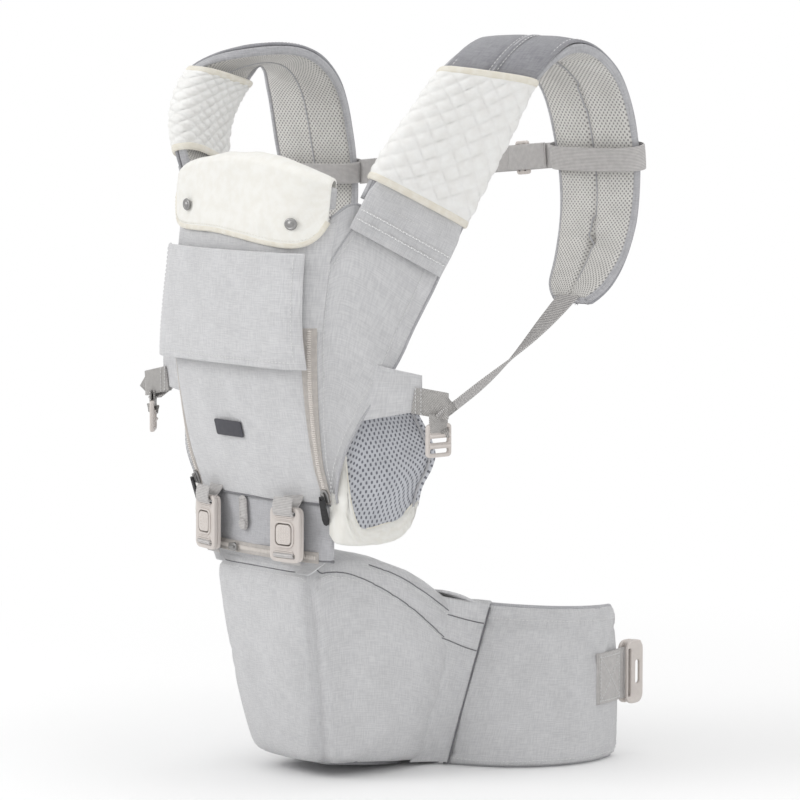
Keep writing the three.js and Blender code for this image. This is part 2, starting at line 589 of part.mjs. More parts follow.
function makeLegOpening(side, word) {
  add(`leg_liner_${word}`, block(8, 2, 1, (u, v, w) => {
    const s = lerp(0.24, 1, u);
    return legPoint(side, s, lerp(linerFoot(s) + 5, linerTop(s), v), lerp(-2, 2, w));
  }), spacerMesh);
  add(`leg_pad_${word}`, block(8, 2, 2, (u, v, w) => {
    const plump = 3.5 + 3.5 * Math.sin(Math.PI * v);
    const s = lerp(0.02, 0.97, u);
    return legPoint(side, s, lerp(padFoot(s), linerFoot(s) + 2, v), lerp(-plump, plump, w));
  }), cotton);
}

// ---------------------------------------------------------------- front buckles, zips and the snap tab
function makeFrontBuckle(side, word) {
  const group = onPanel(side * BUCKLE.x, BUCKLE.z, BUCKLE.out);
  const { wide, tall, thick } = BUCKLE;
  const body = roundedPlate(wide, tall, 6, thick);
  const slots = [-1, 1].map((way) => boxAt(27, 30, 4.6, 0, 0, way * (tall / 2 - 6.5)));
  const well = boxAt(21, thick, 21, 0, -2.6, 0);
  add(`front_buckle_${word}`, cut(body, ...slots, well), plastic, group);
  add(`front_button_${word}`, roundedPlate(19.6, 19.6, 4, 5).translate(0, -3.4, 0), plastic, group);
  // One webbing runs behind the buckle, from the panel above it to the seat's edge below it.
  add(`buckle_webbing_${word}`, boxAt(WEBBING.wide, WEBBING.thick, tall + 14, 0, 6.4, 6), webbing, group);
}

function makeZipSlider(side, word) {
  const z = PANEL.foot + 9;
  const group = onPanel(side * zipXAt(z), z, 3.4);
  add(`zip_slider_${word}`, roundedPlate(9, 13, 2.4, 5), steel, group);
  add(`zip_pull_${word}`, roundedPlate(8, 30, 2, 2.4).translate(0, -4.4, -13), blackRubber, group);
}

function makeSeatZip() {
  const z = 226;
  const tape = { halfX: 88, halfZ: 5.5 };
  add("seat_zip_tape", panelSheet(6, 1, (u) => lerp(-1, 1, u) * tape.halfX,
    (u, v) => z + lerp(-1, 1, v) * tape.halfZ, 1.2, -0.6), zipTape);
  const group = onPanel(-28, z, 5);
  add("seat_zip_slider", roundedPlate(13, 8, 2.4, 4.4), steel, group);
}

function makeSnapTab() {
  const frame = onPanel(-14, 261, 2.6);
  const cap = new THREE.CylinderGeometry(5.2, 5.6, 3, 12).translate(0, -2.2, -11);
  add("snap_tab", join(roundedPlate(12, 34, 5, 2), cap), snapPlastic, frame);
}

// ---------------------------------------------------------------- assembly
makeSeat();
makeBeltFront();
makeWaistBuckles();
makePanel();
makeFlap();
makeHeadSupport();
const harness = { right: makeStrap(RIGHT_STRAP, "right"), left: makeStrap(LEFT_STRAP, "left") };
makeChestStrap(harness);
for (const [side, word] of [[1, "right"], [-1, "left"]]) {
  makeWing(side, word);
  makeSideBuckle(side, word);
  makeLegOpening(side, word);
  makeFrontBuckle(side, word);
  makeZipSlider(side, word);
  const { edge, way } = wingPath(side);
  makeAdjuster(harness[word], word, edge.clone().addScaledVector(way, 1.1));
}
makeSeatZip();
makeSnapTab();

carrier.updateMatrixWorld(true);
const bounds = new THREE.Box3().setFromObject(carrier, true);
const middle = bounds.getCenter(vec());
carrier.position.set(-middle.x, -middle.y, -bounds.min.z);

export default carrier;
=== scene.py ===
"""The looks of a soft baby carrier with a hip seat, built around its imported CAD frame.

Shapes are worked out in millimetres with x = y = 0 at the centre of the waist belt's ring, as the CAD part does,
and set down in the frame, in metres, as each mesh is made. The panel's outside faces -Y.
"""

import json
import math

import bmesh
import bpy
import numpy as np
from mathutils import Matrix, Vector, noise
from mathutils.bvhtree import BVHTree
from mathutils.kdtree import KDTree


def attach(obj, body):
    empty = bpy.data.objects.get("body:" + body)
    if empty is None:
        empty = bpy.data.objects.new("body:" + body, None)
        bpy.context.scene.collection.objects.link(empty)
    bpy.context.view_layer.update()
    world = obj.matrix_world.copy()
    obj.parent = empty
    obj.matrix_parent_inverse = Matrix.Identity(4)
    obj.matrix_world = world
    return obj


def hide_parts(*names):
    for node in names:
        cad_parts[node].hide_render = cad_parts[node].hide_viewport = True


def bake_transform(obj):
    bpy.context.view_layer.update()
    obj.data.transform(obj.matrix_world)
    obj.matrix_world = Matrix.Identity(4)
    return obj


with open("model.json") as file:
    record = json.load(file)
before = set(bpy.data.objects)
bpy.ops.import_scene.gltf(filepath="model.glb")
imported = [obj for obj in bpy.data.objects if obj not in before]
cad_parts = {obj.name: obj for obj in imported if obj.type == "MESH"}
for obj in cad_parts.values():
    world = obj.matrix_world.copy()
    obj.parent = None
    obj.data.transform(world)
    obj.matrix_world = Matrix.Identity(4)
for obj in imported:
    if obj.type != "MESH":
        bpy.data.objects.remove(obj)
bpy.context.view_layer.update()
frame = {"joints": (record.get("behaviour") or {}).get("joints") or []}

# The panel folds about the top front edge of the seat: that joint's place sets the ring's centre in the frame.
FOLD = (0.0, -299.0, 216.0)
fold_joint = next(j for j in frame["joints"] if j["name"] == "panel_fold")
SHIFT = np.array(fold_joint["pos_m"]) * 1000 - np.array(FOLD)

# ------------------------------------------------------------------------------- numbers shared with the design
BELT = {"x": 150.0, "y": 120.0, "thick": 14.0, "seam_top": 163.0, "end_top": 152.0, "end": 22.0,
        "splay": 25.0}
SEAT = {"front": -300.0, "foot": -264.0, "toe": 12.0, "clear": 9.0}
PANEL = {"foot": 279.0, "top": 549.0}
ZIP = {"x": 100.0, "wide": 12.0, "shown_to": 450.0}
FLAP = {"foot": 413.0, "top": 519.0, "half": 100.0, "lift": 6.4, "thick": 4.0}
HEAD = {"foot": 553.0, "top": 607.0, "half": 113.0, "shift": 8.0, "thick": 16.0}
WEB = {"wide": 25.0, "thick": 1.8}
SIDES = (("right", 1), ("left", -1))


# ------------------------------------------------------------------------------- small maths
def vec(*c):
    return np.array(c, float)


def lerp(a, b, t):
    return a + (b - a) * t


def smooth(t, low, high):
    s = np.clip((np.asarray(t, float) - low) / (high - low), 0, 1)
    return s * s * (3 - 2 * s)


def unit(a):
    return a / np.maximum(np.linalg.norm(a, axis=-1, keepdims=True), 1e-9)


def stack(x, y, z):
    return np.stack(np.broadcast_arrays(x, y, z), -1).astype(float)


def metres(points):
    """Points of the design, in mm, as points of the frame, in metres."""
    return (np.asarray(points) + SHIFT) / 1000


def run_length(path):
    """The distance along a path at each of its points."""
    return np.concatenate([[0], np.cumsum(np.linalg.norm(np.diff(path, axis=0), axis=1))])


def through(points):
    """A smooth function through (t, value) points, level beyond its ends. It takes arrays."""
    t0, v0 = (np.array(c, float) for c in zip(*points))
    after = np.minimum(np.arange(len(t0)) + 1, len(t0) - 1)
    before = np.maximum(np.arange(len(t0)) - 1, 0)
    slope = (v0[after] - v0[before]) / (t0[after] - t0[before])

    def value(t):
        t = np.clip(np.asarray(t, float), t0[0], t0[-1])
        i = np.clip(np.searchsorted(t0, t, side="right") - 1, 0, len(t0) - 2)
        span = t0[i + 1] - t0[i]
        s = (t - t0[i]) / span
        a, b, m, n = v0[i], v0[i + 1], slope[i] * span, slope[i + 1] * span
        return a + s * (m + s * (3 * (b - a) - 2 * m - n + s * (2 * (a - b) + m + n)))

    return value


def through_points(points, n):
    """A smooth path of n points through a few."""
    points = np.array(points, float)
    knots = run_length(points)
    t = np.linspace(0, knots[-1], n)
    return np.stack([through(list(zip(knots, points[:, k])))(t) for k in range(3)], -1)


def spread(n, length, edge):
    """n even rows from 0 to 1, with a few close rows in the last `edge` mm of both ends."""
    e = min(0.45, edge / length)
    rim = e * np.array([0, 0.05, 0.2, 0.5])
    return np.concatenate([rim, np.linspace(e, 1 - e, n), (1 - rim)[::-1]])


def rounded(t, length, edge):
    """1 in the middle of a cross-section, falling to 0 at both ends along a quarter circle `edge` mm wide."""
    e = min(0.45, edge / length)
    s = np.clip(np.minimum(t, 1 - t) / e, 0, 1)
    return np.sqrt(np.clip(1 - (1 - s) ** 2, 0, 1))


def wrinkle(points, size, amount, seed=0.0, stretch=(1, 1, 1)):
    """Soft noise in mm at each point, with features about `size` mm across."""
    flat = points.reshape(-1, 3) / size * np.array(stretch) + seed
    values = [noise.noise(Vector(p)) for p in flat]
    return np.array(values).reshape(points.shape[:-1]) * amount


# ------------------------------------------------------------------------------- meshes
def make(name, points, faces, material, uvs):
    """A mesh object from points in mm. uvs holds one (u, v) in mm for each point."""
    mesh = bpy.data.meshes.new(name)
    mesh.from_pydata(metres(points).tolist(), [], [tuple(int(i) for i in f) for f in faces])
    layer = mesh.uv_layers.new(name="mm")
    index = np.zeros(len(mesh.loops), np.int32)
    mesh.loops.foreach_get("vertex_index", index)
    layer.data.foreach_set("uv", (np.asarray(uvs, np.float32)[index]).ravel())
    obj = bpy.data.objects.new(name, mesh)
    bpy.context.scene.collection.objects.link(obj)
    clean = bmesh.new()
    clean.from_mesh(mesh)
    bmesh.ops.remove_doubles(clean, verts=clean.verts, dist=2e-6)
    bmesh.ops.recalc_face_normals(clean, faces=clean.faces)
    clean.to_mesh(mesh)
    clean.free()
    mesh.materials.append(material)
    mesh.shade_smooth()
    return obj


def grid_faces(nu, nv, base, order, closed=False):
    """The quads of an nu x nv grid of points, round in u when it is closed; order is 1 or -1."""
    faces = []
    for i in range(nu if closed else nu - 1):
        for j in range(nv - 1):
            a, b = base + i * nv + j, base + (i + 1) % nu * nv + j
            faces.append((a, b, b + 1, a + 1)[::order])
    return faces


def pad(name, surface, rows, sizes, half, material, edge=3.0, middle=0.0, front=None, back=None, out=1):
    """A closed pad on a middle surface(u, v): `half` thick each way, its faces meeting in a round seam.

    rows and sizes are (across, along). front and back are extra heights in mm, functions of (u, v, points).
    out is 1 where du x dv points out of the object, else -1.
    """
    us, vs = (spread(n, size, edge) for n, size in zip(rows, sizes))
    u, v = np.meshgrid(us, vs, indexing="ij")
    p = surface(u, v)
    step = 1e-3
    du = surface(np.clip(u + step, 0, 1), v) - surface(np.clip(u - step, 0, 1), v)
    dv = surface(u, np.clip(v + step, 0, 1)) - surface(u, np.clip(v - step, 0, 1))
    normal = unit(np.cross(du, dv)) * out
    q = rounded(u, sizes[0], edge) * rounded(v, sizes[1], edge)
    h = (half(u, v) if callable(half) else half) * q
    high = middle + h + (front(u, v, p) * q if front else 0)
    low = middle - h + (back(u, v, p) * q if back else 0)
    top, bottom = p + normal * high[..., None], p + normal * low[..., None]
    faces = grid_faces(*u.shape, 0, 1) + grid_faces(*u.shape, u.size, -1)
    uv = np.stack([u * sizes[0], v * sizes[1]], -1).reshape(-1, 2)
    points = np.concatenate([top.reshape(-1, 3), bottom.reshape(-1, 3)])
    return make(name, points, faces, material, np.concatenate([uv, uv]))


def ring(name, surface, n_round, n_along, sizes, wall, material, front=None):
    """A closed sleeve: surface(turn, s, out) gives a point at a share of the way round, along, and out in mm."""
    turn, s = np.meshgrid(np.arange(n_round) / n_round, spread(n_along, sizes[1], wall), indexing="ij")
    q = rounded(s, sizes[1], wall)
    outer = surface(turn, s, 0)
    extra = front(turn, s, outer) if front else 0
    layers = [surface(turn, s, wall / 2 + (wall / 2 + extra) * q), surface(turn, s, wall / 2 - wall / 2 * q)]
    faces = grid_faces(*turn.shape, 0, 1, True) + grid_faces(*turn.shape, turn.size, -1, True)
    uv = np.stack([np.abs(turn - 0.5) * 2 * sizes[0], s * sizes[1]], -1).reshape(-1, 2)
    points = np.concatenate([layer.reshape(-1, 3) for layer in layers])
    return make(name, points, faces, material, np.concatenate([uv, uv]))


def circle(radius, n=8):
    a = np.arange(n) * 2 * math.pi / n
    return np.stack([np.cos(a), np.sin(a)], -1) * radius


def flat_section(wide, thick, n=3):
    """A flat strip's cross-section with round edges."""
    a = np.linspace(-math.pi / 2, math.pi / 2, n + 2)
    right = np.stack([wide / 2 - thick / 2 + np.cos(a) * thick / 2, np.sin(a) * thick / 2], -1)
    across = np.linspace(1, -1, 7)[1:-1] * (wide / 2 - thick / 2)
    top = np.stack([across, np.full(5, thick / 2)], -1)
    return np.concatenate([right, top, -right, -top])


def sweep(name, path, side, section, material, closed=False):
    """A section (across, up) carried along a path. side is the across direction, one vector or one a point."""
    path = np.asarray(path, float)
    n, m = len(path), len(section)
    if closed:
        along = np.roll(path, -1, 0) - np.roll(path, 1, 0)
    else:
        along = np.gradient(path, axis=0)
    along = unit(along)
    side = np.broadcast_to(np.asarray(side, float), path.shape)
    side = unit(side - along * (side * along).sum(-1, keepdims=True))
    up = np.cross(along, side)
    section = np.broadcast_to(section, (n, m, 2))
    points = path[:, None] + side[:, None] * section[..., :1] + up[:, None] * section[..., 1:]
    rows = n if closed else n - 1
    faces = []
    for i in range(rows):
        for j in range(m):
            a, b = i * m, (i + 1) % n * m
            k = (j + 1) % m
            faces.append((a + j, a + k, b + k, b + j))
    if not closed:
        faces += [tuple(range(m))[::-1], tuple(range((n - 1) * m, n * m))]
    uv = np.stack([section[..., 0], np.broadcast_to(run_length(path)[:, None], (n, m))], -1)
    return make(name, points.reshape(-1, 3), faces, material, uv.reshape(-1, 2))


def cord(name, path, radius, material, closed=False, n=8):
    """A round piping along a path."""
    steady = vec(0.3, 0.5, 0.8)
    return sweep(name, path, steady, circle(radius, n), material, closed)


def resample(path, pitch):
    """Even points every `pitch` mm along a path, with the direction at each."""
    path = np.asarray(path, float)
    length = run_length(path)
    n = max(2, int(length[-1] / pitch) + 1)
    at = np.linspace(0, length[-1], n)
    even = np.stack([np.interp(at, length, path[:, k]) for k in range(3)], -1)
    return even, unit(np.gradient(even, axis=0))


def stitches(name, path, normal, material, pitch=4.2, length=2.7, radius=0.42, zig=0.0):
    """A row of thread stitches that lie on a surface whose outward direction is `normal`."""
    normal = np.asarray(normal, float)
    if normal.ndim > 1:
        points = np.asarray(path, float)
        along = unit(np.gradient(points, axis=0))
    else:
        points, along = resample(path, pitch)
    normal = unit(np.broadcast_to(normal, points.shape))
    side = unit(np.cross(normal, along))
    shape = circle(1, 6)
    verts, faces, uvs = [], [], []
    stations = ((-0.5, 0.35), (-0.35, 1.0), (0.35, 1.0), (0.5, 0.35))
    for i in range(len(points)):
        way = unit(along[i] * pitch + side[i] * zig * 2 * (-1) ** i)
        across = unit(np.cross(normal[i], way))
        base = len(verts)
        for t, size in stations:
            middle = points[i] + way * length * t + normal[i] * radius * 0.3
            for a, b in shape:
                verts.append(middle + across * a * radius * size + normal[i] * b * radius * size)
                uvs.append((a, t))
        for k in range(len(stations) - 1):
            for j in range(6):
                a, b = base + k * 6, base + (k + 1) * 6
                faces.append((a + j, a + (j + 1) % 6, b + (j + 1) % 6, b + j))
        faces.append(tuple(base + j for j in range(6))[::-1])
        faces.append(tuple(base + 18 + j for j in range(6)))
    return make(name, np.array(verts), faces, material, np.array(uvs))


def frame_at(point, across, up):
    """A 4x4 matrix, in mm, whose X runs across, -Y points out and Z runs up."""
    x = unit(np.asarray(across, float))
    y = unit(np.cross(np.asarray(up, float), x))
    z = np.cross(x, y)
    m = np.eye(4)
    m[:3, 0], m[:3, 1], m[:3, 2], m[:3, 3] = x, y, z, point
    return m


def put(place, points):
    """Points given in a placement's own axes, in the design's."""
    return np.array([(place @ np.append(p, 1))[:3] for p in points])


def moved(place, x, y, z):
    """A placement shifted along its own axes."""
    spot = place.copy()
    spot[:3, 3] = put(place, [(x, y, z)])[0]
    return spot


def round_rect(wide, tall, radius, x=0.0, z=0.0, n=5):
    """The outline of a rectangle with round corners."""
    out = []
    for k, (sx, sz) in enumerate(((1, 1), (-1, 1), (-1, -1), (1, -1))):
        for a in np.linspace(0, math.pi / 2, n):
            angle = a + k * math.pi / 2
            out.append((x + sx * (wide / 2 - radius) + math.cos(angle) * radius,
                        z + sz * (tall / 2 - radius) + math.sin(angle) * radius))
    return out


def plate(name, outlines, thick, bevel, place, material, y=0.0):
    """A moulded plate in the XZ plane of `place`: the first outline is its edge and the rest are holes."""
    curve = bpy.data.curves.new(name, "CURVE")
    curve.dimensions, curve.fill_mode = "2D", "BOTH"
    curve.extrude, curve.bevel_depth, curve.bevel_resolution = thick / 2 - bevel, bevel, 2
    curve.offset = -bevel
    for outline in outlines:
        spline = curve.splines.new("POLY")
        spline.points.add(len(outline) - 1)
        spline.use_cyclic_u = True
        for point, (a, b) in zip(spline.points, outline):
            point.co = (a, b, 0, 1)
    temp = bpy.data.objects.new(name, curve)
    mesh = bpy.data.meshes.new_from_object(temp)
    co = np.array([v.co for v in mesh.vertices])
    local = np.stack([co[:, 0], -co[:, 2] + y, co[:, 1], np.ones(len(co))], -1)
    faces = [tuple(f.vertices) for f in mesh.polygons]
    bpy.data.objects.remove(temp)
    bpy.data.curves.remove(curve)
    bpy.data.meshes.remove(mesh)
    obj = make(name, (local @ place.T)[:, :3], faces, material, local[:, (0, 2)])
    obj.data.set_sharp_from_angle(angle=math.radians(40))
    return obj


def lathe(name, profile, place, material, n=20, squash=1.0):
    """A turned shape about the -Y axis of `place`: profile holds (radius, out). squash flattens it in Z."""
    verts, faces = [], []
    for r, out in profile:
        for k in range(n):
            a = 2 * math.pi * k / n
            verts.append((r * math.cos(a), -out, r * math.sin(a) * squash, 1))
    for i in range(len(profile) - 1):
        for k in range(n):
            a, b = i * n, (i + 1) * n
            faces.append((a + k, a + (k + 1) % n, b + (k + 1) % n, b + k))
    faces += [tuple(range(n))[::-1], tuple(range((len(profile) - 1) * n, len(profile) * n))]
    local = np.array(verts)
    return make(name, (local @ place.T)[:, :3], faces, material, local[:, (0, 2)])


def merge(name, pieces):
    """Joins objects into one."""
    mesh = bmesh.new()
    materials = []
    for piece in pieces:
        before = len(mesh.faces)
        mesh.from_mesh(piece.data)
        mesh.faces.ensure_lookup_table()
        material = piece.data.materials[0]
        if material not in materials:
            materials.append(material)
        for face in mesh.faces[before:]:
            face.material_index = materials.index(material)
    first = pieces[0]
    first.name = name
    mesh.to_mesh(first.data)
    mesh.free()
    first.data.materials.clear()
    for material in materials:
        first.data.materials.append(material)
    for piece in pieces[1:]:
        bpy.data.objects.remove(piece)
    return first


def groove(obj, paths, depth, wide):
    """Presses seam lines into a mesh."""
    points = np.concatenate([resample(path, 2.0)[0] for path in paths])
    tree = KDTree(len(points))
    for i, p in enumerate(metres(points)):
        tree.insert(Vector(p), i)
    tree.balance()
    for vertex in obj.data.vertices:
        distance = tree.find(vertex.co)[2] * 1000
        if distance < 3 * wide:
            vertex.co -= vertex.normal * (depth * math.exp(-((distance / wide) ** 2)) / 1000)


def inflate(obj, pinned, pressure, grow, cap, frames=16, stiffness=12.0):
    """Cloth simulation: fabric a little larger than its shape swells and puckers between its pinned seams."""
    scene = bpy.context.scene
    rest = np.array([v.co for v in obj.data.vertices])
    group = obj.vertex_groups.new(name="seams")
    group.add([int(i) for i in np.nonzero(pinned(rest * 1000 - SHIFT))[0]], 1.0, "REPLACE")
    cloth = obj.modifiers.new("cloth", "CLOTH")
    cloth.settings.vertex_group_mass = "seams"
    cloth.settings.use_pressure = True
    cloth.settings.uniform_pressure_force = pressure
    cloth.settings.shrink_min = -grow
    cloth.settings.tension_stiffness = stiffness
    cloth.settings.compression_stiffness = stiffness
    cloth.settings.bending_stiffness = 0.6
    cloth.settings.effector_weights.gravity = 0
    cloth.collision_settings.use_collision = False
    for number in range(1, frames + 1):
        scene.frame_set(number)
    result = obj.evaluated_get(bpy.context.evaluated_depsgraph_get()).to_mesh()
    moved = np.array([v.co for v in result.vertices]) - rest
    obj.modifiers.remove(cloth)
    obj.vertex_groups.remove(group)
    scene.frame_set(1)
    size = np.linalg.norm(moved, axis=1, keepdims=True)
    moved *= np.minimum(1, cap / 1000 / np.maximum(size, 1e-9))
    obj.data.vertices.foreach_set("co", (rest + moved).astype(np.float32).ravel())
    obj.data.update()


def shrink_to(obj):
    """A function that drops points, in mm, onto a mesh: it returns them `out` mm above it, and the normals."""
    tree = BVHTree.FromObject(obj, bpy.context.evaluated_depsgraph_get())

    def cling(path, out):
        hits = [tree.find_nearest(Vector(p)) for p in metres(path)]
        points = np.array([hit[0] for hit in hits]) * 1000 - SHIFT
        normals = np.array([hit[1] for hit in hits])
        return points + normals * out, normals

    return cling


def finish_piece(obj, body, slot, *nodes):
    """Rides a piece on its body and hides the CAD nodes it stands for. Its slot is not used."""
    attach(obj, body)
    if nodes:
        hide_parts(*nodes)


def bend_piece(obj, start, end):
    """Bakes a piece's place into its mesh. start and end are not used."""
    metres(start)
    metres(end)
    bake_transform(obj)


def sew(cling, curve):
    """A row of stitches along a curve, on the surface that `cling` drops points onto."""
    path, normal = cling(resample(curve, 4.2)[0], 0.1)
    return stitches("row", path, normal, THREAD)


# ------------------------------------------------------------------------------- materials
class Nodes:
    """A material's node tree, with arithmetic on sockets."""

    def __init__(self, name, coords="UV"):
        self.material = bpy.data.materials.new(name)
        self.material.use_nodes = True
        self.tree = self.material.node_tree
        self.shader = self.tree.nodes["Principled BSDF"]
        source = self.tree.nodes.new("ShaderNodeTexCoord").outputs[coords]
        scale = 1.0 if coords == "UV" else 1000.0
        self.mm = self.new("ShaderNodeVectorMath", {0: source, 1: (scale,) * 3},
                           operation="MULTIPLY").outputs[0]
        split = self.new("ShaderNodeSeparateXYZ", {0: self.mm})
        self.u, self.v, self.w = split.outputs[0], split.outputs[1], split.outputs[2]

    def new(self, kind, inputs=None, **settings):
        node = self.tree.nodes.new(kind)
        for key, value in settings.items():
            setattr(node, key, value)
        for key, value in (inputs or {}).items():
            self.put(node.inputs[key], value)
        return node

    def put(self, socket, value):
        if isinstance(value, bpy.types.NodeSocket):
            self.tree.links.new(value, socket)
        else:
            socket.default_value = value

    def math(self, operation, a, b=0.0):
        return self.new("ShaderNodeMath", {0: a, 1: b}, operation=operation).outputs[0]

    def wave(self, t, pitch):
        return self.math("COSINE", self.math("MULTIPLY", t, 2 * math.pi / pitch))

    def lattice(self, pitch_u, pitch_v):
        """Peaks in staggered rows, from -1 to 1."""
        return self.math("MULTIPLY", self.wave(self.u, pitch_u), self.wave(self.v, pitch_v))

    def noise(self, size, stretch=(1, 1, 1), detail=2.0):
        at = self.new("ShaderNodeVectorMath", {0: self.mm, 1: stretch}, operation="MULTIPLY").outputs[0]
        node = self.new("ShaderNodeTexNoise", {"Vector": at, "Scale": 1.0 / size, "Detail": detail})
        return node.outputs[0]

    def ramp(self, t, low, high, to_low=0.0, to_high=1.0):
        keys = {0: t, 1: low, 2: high, 3: to_low, 4: to_high}
        return self.new("ShaderNodeMapRange", keys, interpolation_type="SMOOTHSTEP").outputs[0]

    def mix(self, t, a, b):
        node = self.new("ShaderNodeMix", data_type="RGBA")
        for key, value in ((0, t), (6, a), (7, b)):
            self.put(node.inputs[key],
                     value if isinstance(value, bpy.types.NodeSocket) or key == 0 else rgba(value))
        return node.outputs[2]

    def scaled(self, colour, factor):
        node = self.new("ShaderNodeVectorMath", {0: colour}, operation="SCALE")
        self.put(node.inputs["Scale"], factor)
        return node.outputs[0]

    def finish(self, colour, height=None, depth=0.2, rough=0.9, sheen=0.0, metal=0.0):
        self.put(self.shader.inputs["Base Color"], colour)
        self.put(self.shader.inputs["Roughness"], rough)
        self.put(self.shader.inputs["Metallic"], metal)
        self.put(self.shader.inputs["Sheen Weight"], sheen)
        self.put(self.shader.inputs["Sheen Roughness"], 0.5)
        if height is not None:
            bump = self.new("ShaderNodeBump", {"Height": height, "Strength": 1.0, "Distance": depth / 1000})
            self.put(self.shader.inputs["Normal"], bump.outputs[0])
        return self.material


def rgba(colour):
    """A linear colour from 0-255 sRGB values."""
    def linear(c):
        c /= 255
        return c / 12.92 if c <= 0.04045 else ((c + 0.055) / 1.055) ** 2.4
    return tuple(linear(c) for c in colour) + (1.0,)


def heather(name, base, dark, light, weave=0.9, fleck=1.05):
    """Woven melange cloth: light and dark yarns in long thin streaks, a plain weave and soft shade changes."""
    n = Nodes(name)
    across = n.noise(fleck, (0.09, 1.0, 1))
    along = n.noise(fleck, (1.0, 0.09, 1))
    yarn = n.math("ADD", n.math("MULTIPLY", across, 0.5), n.math("MULTIPLY", along, 0.5))
    colour = n.mix(n.ramp(yarn, 0.36, 0.64), dark, light)
    colour = n.mix(0.5, colour, base)
    colour = n.scaled(colour, n.ramp(n.noise(28, detail=3.0), 0.25, 0.75, 0.96, 1.04))
    threads = n.lattice(weave, weave)
    height = n.math("ADD", threads, n.math("MULTIPLY", n.noise(0.7), 0.8))
    return n.finish(colour, height, 0.13, 0.93, 0.35)


def cotton(name, base, shade, knit=1.1):
    """Soft cotton jersey with a fine knit and a slight nap."""
    n = Nodes(name)
    colour = n.mix(n.ramp(n.noise(9, detail=4.0), 0.3, 0.7), shade, base)
    loops = n.math("ADD", n.wave(n.math("ADD", n.u, n.math("MULTIPLY", n.wave(n.v, knit), 0.12)), knit),
                   n.math("MULTIPLY", n.noise(0.9), 1.2))
    return n.finish(colour, loops, 0.1, 0.95, 0.4)


def spacer(name, base, hole, pitch, cover):
    """Three-dimensional mesh: staggered round holes in a knitted face."""
    n = Nodes(name)
    peaks = n.lattice(pitch, pitch * 1.15)
    holes = n.ramp(n.math("ADD", peaks, n.math("MULTIPLY", n.noise(1.5), 0.25)), cover, cover + 0.35)
    face = n.scaled(n.mix(n.noise(0.8), base, tuple(c * 0.9 for c in base)),
                    n.ramp(n.noise(22), 0.3, 0.7, 0.95, 1.04))
    colour = n.mix(holes, face, hole)
    height = n.math("SUBTRACT", n.math("MULTIPLY", n.noise(0.7), 0.3), holes)
    return n.finish(colour, height, 0.5, 0.95, 0.25)


def ribbed(name, base, dark, rib=1.5, diagonal=0.0):
    """Woven webbing: ribs across the strap, fine cords along it and firm edges."""
    n = Nodes(name)
    slant = n.math("ADD", n.v, n.math("MULTIPLY", n.u, diagonal))
    ribs = n.wave(slant, rib)
    cords = n.wave(n.u, 0.8)
    colour = n.mix(n.ramp(ribs, -0.9, 0.4), dark, base)
    colour = n.scaled(colour, n.ramp(n.noise(5), 0.3, 0.7, 0.94, 1.05))
    height = n.math("ADD", ribs, n.math("MULTIPLY", cords, 0.35))
    return n.finish(colour, height, 0.28, 0.85, 0.2)


def moulded(name, base, rough=0.42, grain=0.5, sparkle=0.03):
    """Moulded plastic or rubber: a fine grain, uneven gloss and convex edges coloured lighter."""
    n = Nodes(name)
    # Convex edges, found by their pointiness, are coloured lighter than the rest.
    lighter_edges = n.ramp(n.new("ShaderNodeNewGeometry").outputs["Pointiness"], 0.51, 0.58)
    light = tuple(min(255, c * 1.12 + 6) for c in base)
    uneven = n.scaled(rgba(base)[:3], n.ramp(n.noise(7), 0.3, 0.7, 0.97, 1.03))
    colour = n.mix(n.math("MULTIPLY", lighter_edges, 0.5), uneven, light)
    height = n.noise(grain, detail=3.0)
    gloss = n.ramp(n.noise(6, detail=3.0), 0.3, 0.7, rough - 0.05, rough + 0.08)
    return n.finish(colour, height, sparkle, gloss)


def metal(name, base, rough=0.28):
    n = Nodes(name)
    colour = n.mix(n.noise(2.5, detail=4.0), base, tuple(c * 0.82 for c in base))
    gloss = n.ramp(n.noise(3), 0.3, 0.7, rough, rough + 0.12)
    return n.finish(colour, n.noise(0.35, (0.2, 2, 1)), 0.015, gloss, metal=1.0)


def thread(name, base):
    n = Nodes(name)
    twist = n.wave(n.v, 0.5)
    return n.finish(n.mix(n.ramp(twist, -1, 1), tuple(c * 0.86 for c in base), base), twist, 0.05, 0.7, 0.1)


GREY = heather("heather_grey", (210, 210, 211), (190, 190, 193), (222, 222, 223))
GREY_MID = heather("heather_shaded", (184, 184, 187), (164, 164, 168), (196, 196, 199))
GREY_DARK = heather("heather_dark", (154, 154, 159), (132, 132, 137), (172, 172, 176))
BINDING = heather("grey_binding", (188, 188, 191), (160, 160, 165), (205, 205, 208), 0.7, 1.0)
CREAM = cotton("cream_cotton", (241, 240, 235), (236, 234, 227))
QUILT = cotton("quilted_cotton", (241, 241, 239), (235, 234, 231))
TRIM = cotton("cream_binding", (241, 237, 226), (233, 227, 212), 0.8)
MESH = spacer("spacer_mesh", (226, 224, 220), (150, 148, 146), 4.2, 0.30)
LEG_MESH = spacer("leg_mesh", (202, 204, 210), (112, 114, 122), 5.6, 0.36)
WEBBING = ribbed("webbing", (216, 213, 211), (184, 181, 180))
WEBBING_TWO = ribbed("webbing_two_tone", (208, 205, 202), (150, 148, 149), 2.2)
WEBBING_TWILL = ribbed("webbing_twill", (200, 197, 194), (160, 158, 156), 1.8, 0.8)
TAPE = ribbed("zip_tape", (224, 218, 212), (208, 201, 195), 1.0, 1.0)
PLASTIC = moulded("beige_grey_plastic", (200, 193, 188))
RUBBER = moulded("black_rubber", (32, 32, 34), 0.5, 0.4, 0.04)
LABEL = moulded("dark_label", (66, 66, 72), 0.6, 0.6, 0.05)
LABEL_BLACK = moulded("black_label", (34, 34, 38), 0.6, 0.6, 0.05)
SNAP_PINK = moulded("pink_snap", (222, 204, 198), 0.3)
STEEL = metal("satin_metal", (168, 167, 166), 0.4)
